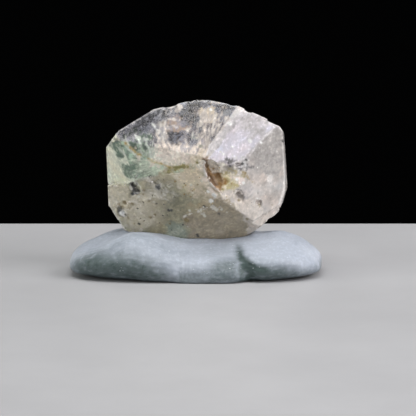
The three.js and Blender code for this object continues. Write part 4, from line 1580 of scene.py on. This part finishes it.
@dataclass
class Grains:
    """The grains in the crystal's etched skin and on the putty."""

    def build(self) -> None:
        """Builds every group of grains."""
        dark = SpeckFinish("dark_grains", (0.035, 0.032, 0.03), (0.10, 0.085, 0.06), 0.5)
        pale = SpeckFinish("pale_grains", (0.80, 0.78, 0.74), (0.95, 0.94, 0.92), 0.12)
        ochre = SpeckFinish("ochre_grains", (0.26, 0.17, 0.06), (0.50, 0.40, 0.20), 0.45)
        lint = SpeckFinish("putty_flecks", (0.62, 0.66, 0.70), (0.82, 0.84, 0.86), 0.5)
        skin, lump = ("crystal_skin", "crystal"), ("putty_lump", "putty")
        for group in (
            Strewn("dark_grains", *skin, (-3.4, 8.2), (6.6, 4.4), 0.7, (0.02, 0.15), dark, 3),
            Strewn("rim_grains", *skin, (7.6, 11.0), (3.6, 8.0), 0.35, (0.02, 0.08), dark, 5),
            Strewn("pale_grains", *skin, (2.8, 9.4), (5.0, 2.6), 0.9, (0.02, 0.11), pale, 7),
            Strewn("bright_grains", *skin, (5.0, 13.6), (4.8, 4.4), 0.4, (0.02, 0.12), pale, 11),
            Strewn("ochre_grains", *skin, (0.6, 10.6), (4.6, 3.4), 1.8, (0.04, 0.16), ochre, 13),
            Strewn("putty_flecks", *lump, (0.0, 2.2), (15.0, 4.2), 0.5, (0.02, 0.06), lint, 17),
        ):
            group.build()


@dataclass(frozen=True)
class Crease:
    """A crease in the putty: its line from the front, its depth and half its width."""

    points: list[Point]
    depth: float
    width: float


CREASES: list[Crease] = [
    Crease([(-4.1, 3.3), (-3.2, 2.5), (-2.3, 1.3), (-1.9, 0.1)], 0.06, 0.35),
    Crease([(-4.3, 2.2), (-3.0, 1.6), (-2.1, 1.1)], 0.07, 0.3),
    Crease([(-2.0, 2.6), (-1.8, 1.0), (-2.0, -0.5)], 0.05, 0.14),
    Crease([(-1.5, 2.1), (-1.3, 0.6), (-1.6, -0.8)], 0.06, 0.14),
    Crease([(-1.0, 1.9), (-0.9, 0.4), (-1.1, -0.7)], 0.05, 0.13),
    Crease([(-0.3, 1.6), (-0.4, 0.3), (-0.2, -0.6)], 0.03, 0.16),
    Crease([(4.9, 3.0), (5.3, 2.0), (6.2, 1.1), (8.1, 0.4)], 0.16, 0.4),
    Crease([(0.9, 1.4), (2.4, 1.1), (4.0, 1.3)], 0.04, 0.3),
    Crease([(3.6, 4.7), (6.6, 5.0), (8.4, 5.3), (10.2, 5.1)], 0.08, 0.2),
    Crease([(4.6, 4.2), (6.8, 4.6), (9.0, 4.7)], 0.04, 0.2),
]

# Places of painted shade on the putty: they only say where its darker deep colour is painted on, so they
# have no colour of their own.
UNTINTED: Colour = (0.0, 0.0, 0.0)
PAINTED_SHADE_PLACES: list[Mark] = [
    Mark(
        "lower left lobe", [
            (-15.5, 1.2), (-13.8, 2.9), (-12.3, 3.1), (-9.8, 2.7), (-7.2, 2.5), (-5.4, 1.8), (-3.9, 0.9),
            (-3.0, -0.2), (-3.2, -1.8), (-15.5, -1.8),
        ],
        UNTINTED, 0.97, soft=1.8, ragged=0.25, patchy=0.16,
    ),
    Mark(
        "left end", [(-15.5, -1.5), (-15.5, 4.0), (-12.6, 4.8), (-11.0, 3.4), (-9.8, 1.5), (-9.8, -1.5)],
        UNTINTED, 0.42, soft=1.3, ragged=0.3, patchy=0.2,
    ),
    Mark(
        "wedge under the fold", [
            (5.0, 3.2), (5.9, 2.1), (6.9, 1.5), (8.6, 1.1), (10.6, 0.9), (12.2, 0.5), (14.0, -0.2),
            (14.0, -1.8), (4.6, -1.8), (4.7, 0.6),
        ],
        UNTINTED, 0.94, soft=1.1, ragged=0.25, patchy=0.15,
    ),
    Mark(
        "depth of the wedge",
        [(5.0, 3.3), (5.5, 3.2), (6.1, 2.2), (7.4, 1.3), (7.8, -1.4), (4.8, -1.4), (4.9, 1.6)],
        UNTINTED, 1.0, soft=0.7, ragged=0.25, patchy=0.1,
    ),
    Mark(
        "lower middle",
        [(-2.2, 0.1), (-0.5, 0.5), (1.5, 0.8), (3.0, 1.3), (4.9, 1.3), (5.4, -1.8), (-2.4, -1.8)],
        UNTINTED, 0.76, soft=0.9, ragged=0.3, patchy=0.3,
    ),
    Mark(
        "patch left of the fold", [(1.3, 0.8), (2.6, 1.6), (5.2, 1.9), (5.6, -1.5), (1.2, -1.5)],
        UNTINTED, 0.9, soft=0.8, ragged=0.4, patchy=0.35,
    ),
    Mark(
        "shaded upper left", [(-12.5, 6.6), (-3.5, 6.8), (-2.0, 3.4), (4.5, 3.4), (4.5, 2.0), (-12.0, 2.0)],
        UNTINTED, 0.24, soft=1.2, ragged=0.3, patchy=0.2,
    ),
]


@dataclass
class Putty:
    """The pressed lump of putty, the fine marks that fingers left on it, and the shade painted on it.

    Attributes:
        voxel: size of the fine mesh's squares.
        seat_gap: the air that the CAD solids keep between the putty and the crystal.
        closed_gap: the air that is left once the putty is drawn up to the crystal.
        dent_depth: how deep the soft dents are.
        most_swell: how far the lump swells out between them.
        grain_depth: how rough the surface is.
    """

    voxel: float = 0.135
    seat_gap: float = 0.3
    closed_gap: float = 0.03
    dent_depth: float = 0.16
    most_swell: float = 0.06
    grain_depth: float = 0.014

    def build(self) -> None:
        """Builds the lump."""
        mesh = fine_copy("putty", self.voxel)
        self.close_on_crystal(mesh)
        self.press(mesh)
        piece = add_piece("putty_lump", mesh, PuttyFinish().material())
        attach(piece, BODY)
        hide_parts("putty")
        log.info("putty: %d faces", len(mesh.polygons))

    def close_on_crystal(self, mesh: bpy.types.Mesh) -> None:
        """Moves the seat's wall up to the crystal."""
        tree = surface_of("crystal")
        points = metres(mesh)
        reach = 3.0 * self.seat_gap
        for index, row in enumerate(points.tolist()):
            nearest = tree.find_nearest(row, reach * MM)[0]
            if nearest is None:
                continue
            away = Vector(row) - nearest
            gap = away.length / MM
            target = self.closed_gap + max(0.0, gap - self.seat_gap) * 0.9
            if 1e-4 < gap < reach:
                share = smoothstep(reach, self.seat_gap, np.array([gap]))[0]
                points[index] += np.array(away) * ((target - gap) / gap) * share
        put_back(mesh, points)

    def press(self, mesh: bpy.types.Mesh) -> None:
        """Presses soft dents and fine creases into the lump, and stores where shade is painted on it."""
        points, normals = metres(mesh) / MM, vertex_normals(mesh)
        free = smoothstep(0.0, 0.7, points[:, 2])
        smeared = points * np.array([0.8, 1.0, 1.3])
        dents = self.dent_depth * turbulence(smeared, 3.2, 2, 41.0)
        grain = self.grain_depth * turbulence(points * np.array([1.6, 1.0, 0.7]), 0.8, 3, 43.0)
        across, up = front_view(points)
        front = smoothstep(0.0, 0.4, -normals[:, 1])
        wander = 0.18 * turbulence(points, 1.4, 3, 44.0)
        creases = np.zeros(len(points))
        for crease in CREASES:
            away = distance_to_line(across + wander, up, crease.points)
            creases += crease.depth * np.exp(-((away / crease.width) ** 2)) * front
        push = np.minimum(dents, self.most_swell) - creases + grain
        put_back(mesh, (points + normals * (push * free)[:, None]) * MM)
        blotch = turbulence(points * np.array([0.5, 1.0, 1.4]), 2.2, 3, 45.0)
        rubbed = turbulence(smeared, 0.7, 4, 46.0)
        # Painted shade: the downward-facing lower parts, the creases and the listed dark places are stored
        # to be painted darker, as shade falls there.
        down = smoothstep(0.5, -0.4, normals[:, 2] + 0.3 * blotch) * smoothstep(5.4, 2.6, points[:, 2])
        hollow = down * (1.0 - 0.5 * front)
        for place in PAINTED_SHADE_PLACES:
            share = place.cover * place.mask(across, up, blotch, rubbed)
            hollow = np.maximum(hollow, front * share)
        # Painted shade, darkest in the creases, with a little random unevenness on top.
        shade_and_unevenness = hollow * (1.0 + 0.3 * rubbed) + 1.6 * creases + 0.1 * rubbed
        write_number(mesh, "hollow", np.clip(shade_and_unevenness, 0.0, 1.0))


@dataclass
class Studio:
    """The floor, the dark backdrop, the lights and the camera.

    Attributes:
        camera_distance: from the camera to the point it looks at.
        camera_rise: the camera's angle above level, in degrees.
        lens: focal length on a 36 mm wide sensor.
        aim: the point that the camera looks at.
        floor_half: half the floor's width.
        floor_front: how far the floor comes towards the camera.
        floor_back: how far it runs behind the object.
    """

    camera_distance: float = 450.0
    camera_rise: float = 10.0
    lens: float = 318.9
    aim: Place = (1.47, 0.0, 8.0)
    floor_half: float = 500.0
    floor_front: float = 600.0
    floor_back: float = 33.5

    def build(self) -> None:
        """Builds the whole set."""
        self.floor()
        self.backdrop()
        self.lights()
        self.camera()

    def floor(self) -> None:
        """A plain pale floor that ends a little behind the object."""
        mesh = bpy.data.meshes.new("floor")
        side, front, back = self.floor_half * MM, -self.floor_front * MM, self.floor_back * MM
        corners = [(-side, front, 0.0), (side, front, 0.0), (side, back, 0.0), (-side, back, 0.0)]
        mesh.from_pydata(corners, [], [(0, 1, 2, 3)])
        made, nodes, shader = new_material("pale_floor")
        tone = use_effect(nodes, Effect.MOTTLE, scale=60.0, detail=4.0, edge=0.5, softness=0.3)
        colour = nodes.blend(tone, (0.42, 0.42, 0.43, 1.0), (0.46, 0.46, 0.47, 1.0))
        made.node_tree.links.new(colour, shader.inputs["Base Color"])
        shader.inputs["Roughness"].default_value = 0.5
        add_piece("floor", mesh, made)

    def backdrop(self) -> None:
        """A dark room around the set."""
        world = bpy.data.worlds.new("dark_room")
        world.use_nodes = True
        background = world.node_tree.nodes["Background"]
        background.inputs["Color"].default_value = (0.9, 0.95, 1.0, 1.0)
        background.inputs["Strength"].default_value = 0.0008
        bpy.context.scene.world = world

    def softbox(self, name: str, place: Place, size: Point, power: float, colour: Colour) -> None:
        """A soft light that looks at the crystal.

        Args:
            name: the light's name.
            place: where it stands, in millimetres.
            size: its width and height in millimetres.
            power: its power in watts.
            colour: its colour.
        """
        light = bpy.data.lights.new(name, "AREA")
        light.shape = "RECTANGLE"
        light.size, light.size_y = size[0] * MM, size[1] * MM
        light.energy = power
        light.color = colour
        lamp = bpy.data.objects.new(name, light)
        lamp.location = Vector(place) * MM
        aim = Vector(Crystal.centre) * MM
        lamp.rotation_euler = (aim - lamp.location).to_track_quat("-Z", "Y").to_euler()
        lamp.visible_camera = False
        bpy.context.scene.collection.objects.link(lamp)

    def lights(self) -> None:
        """Large soft lights above, on both sides and behind."""
        self.softbox("top_light", (0, -85, 310), (300, 220), 0.86, (1.0, 1.0, 1.0))
        self.softbox("right_light", (285, -130, 180), (220, 220), 1.02, (1.0, 0.98, 1.0))
        self.softbox("left_light", (-290, -90, 130), (160, 200), 0.34, (0.97, 1.0, 0.97))
        self.softbox("front_fill", (-90, -400, 60), (200, 160), 0.24, (1.0, 0.99, 0.97))
        self.softbox("back_left_light", (-190, 240, 110), (110, 200), 0.20, (1.0, 1.0, 1.0))
        self.softbox("back_right_light", (200, 240, 120), (110, 200), 0.24, (1.0, 0.98, 0.98))

    def camera(self) -> None:
        """The camera at the photograph's viewing angle."""
        data = bpy.data.cameras.new("camera")
        data.sensor_width = 36.0
        data.lens = self.lens
        data.clip_start, data.clip_end = 0.01, 10.0
        camera = bpy.data.objects.new("camera", data)
        rise = math.radians(self.camera_rise)
        back = Vector((0.0, -math.cos(rise), math.sin(rise)))
        camera.location = (Vector(self.aim) + back * self.camera_distance) * MM
        camera.rotation_euler = (-back).to_track_quat("-Z", "Y").to_euler()
        bpy.context.scene.collection.objects.link(camera)
        bpy.context.scene.camera = camera


def main() -> None:
    """Builds the specimen and its set."""
    logging.basicConfig(level=logging.INFO, format="%(name)s: %(message)s")
    bpy.context.scene.view_settings.view_transform = "Standard"
    Studio().build()
    Crystal().build()
    Fractures().build()
    Putty().build()
    Grains().build()


if __name__ == "__main__":
    main()
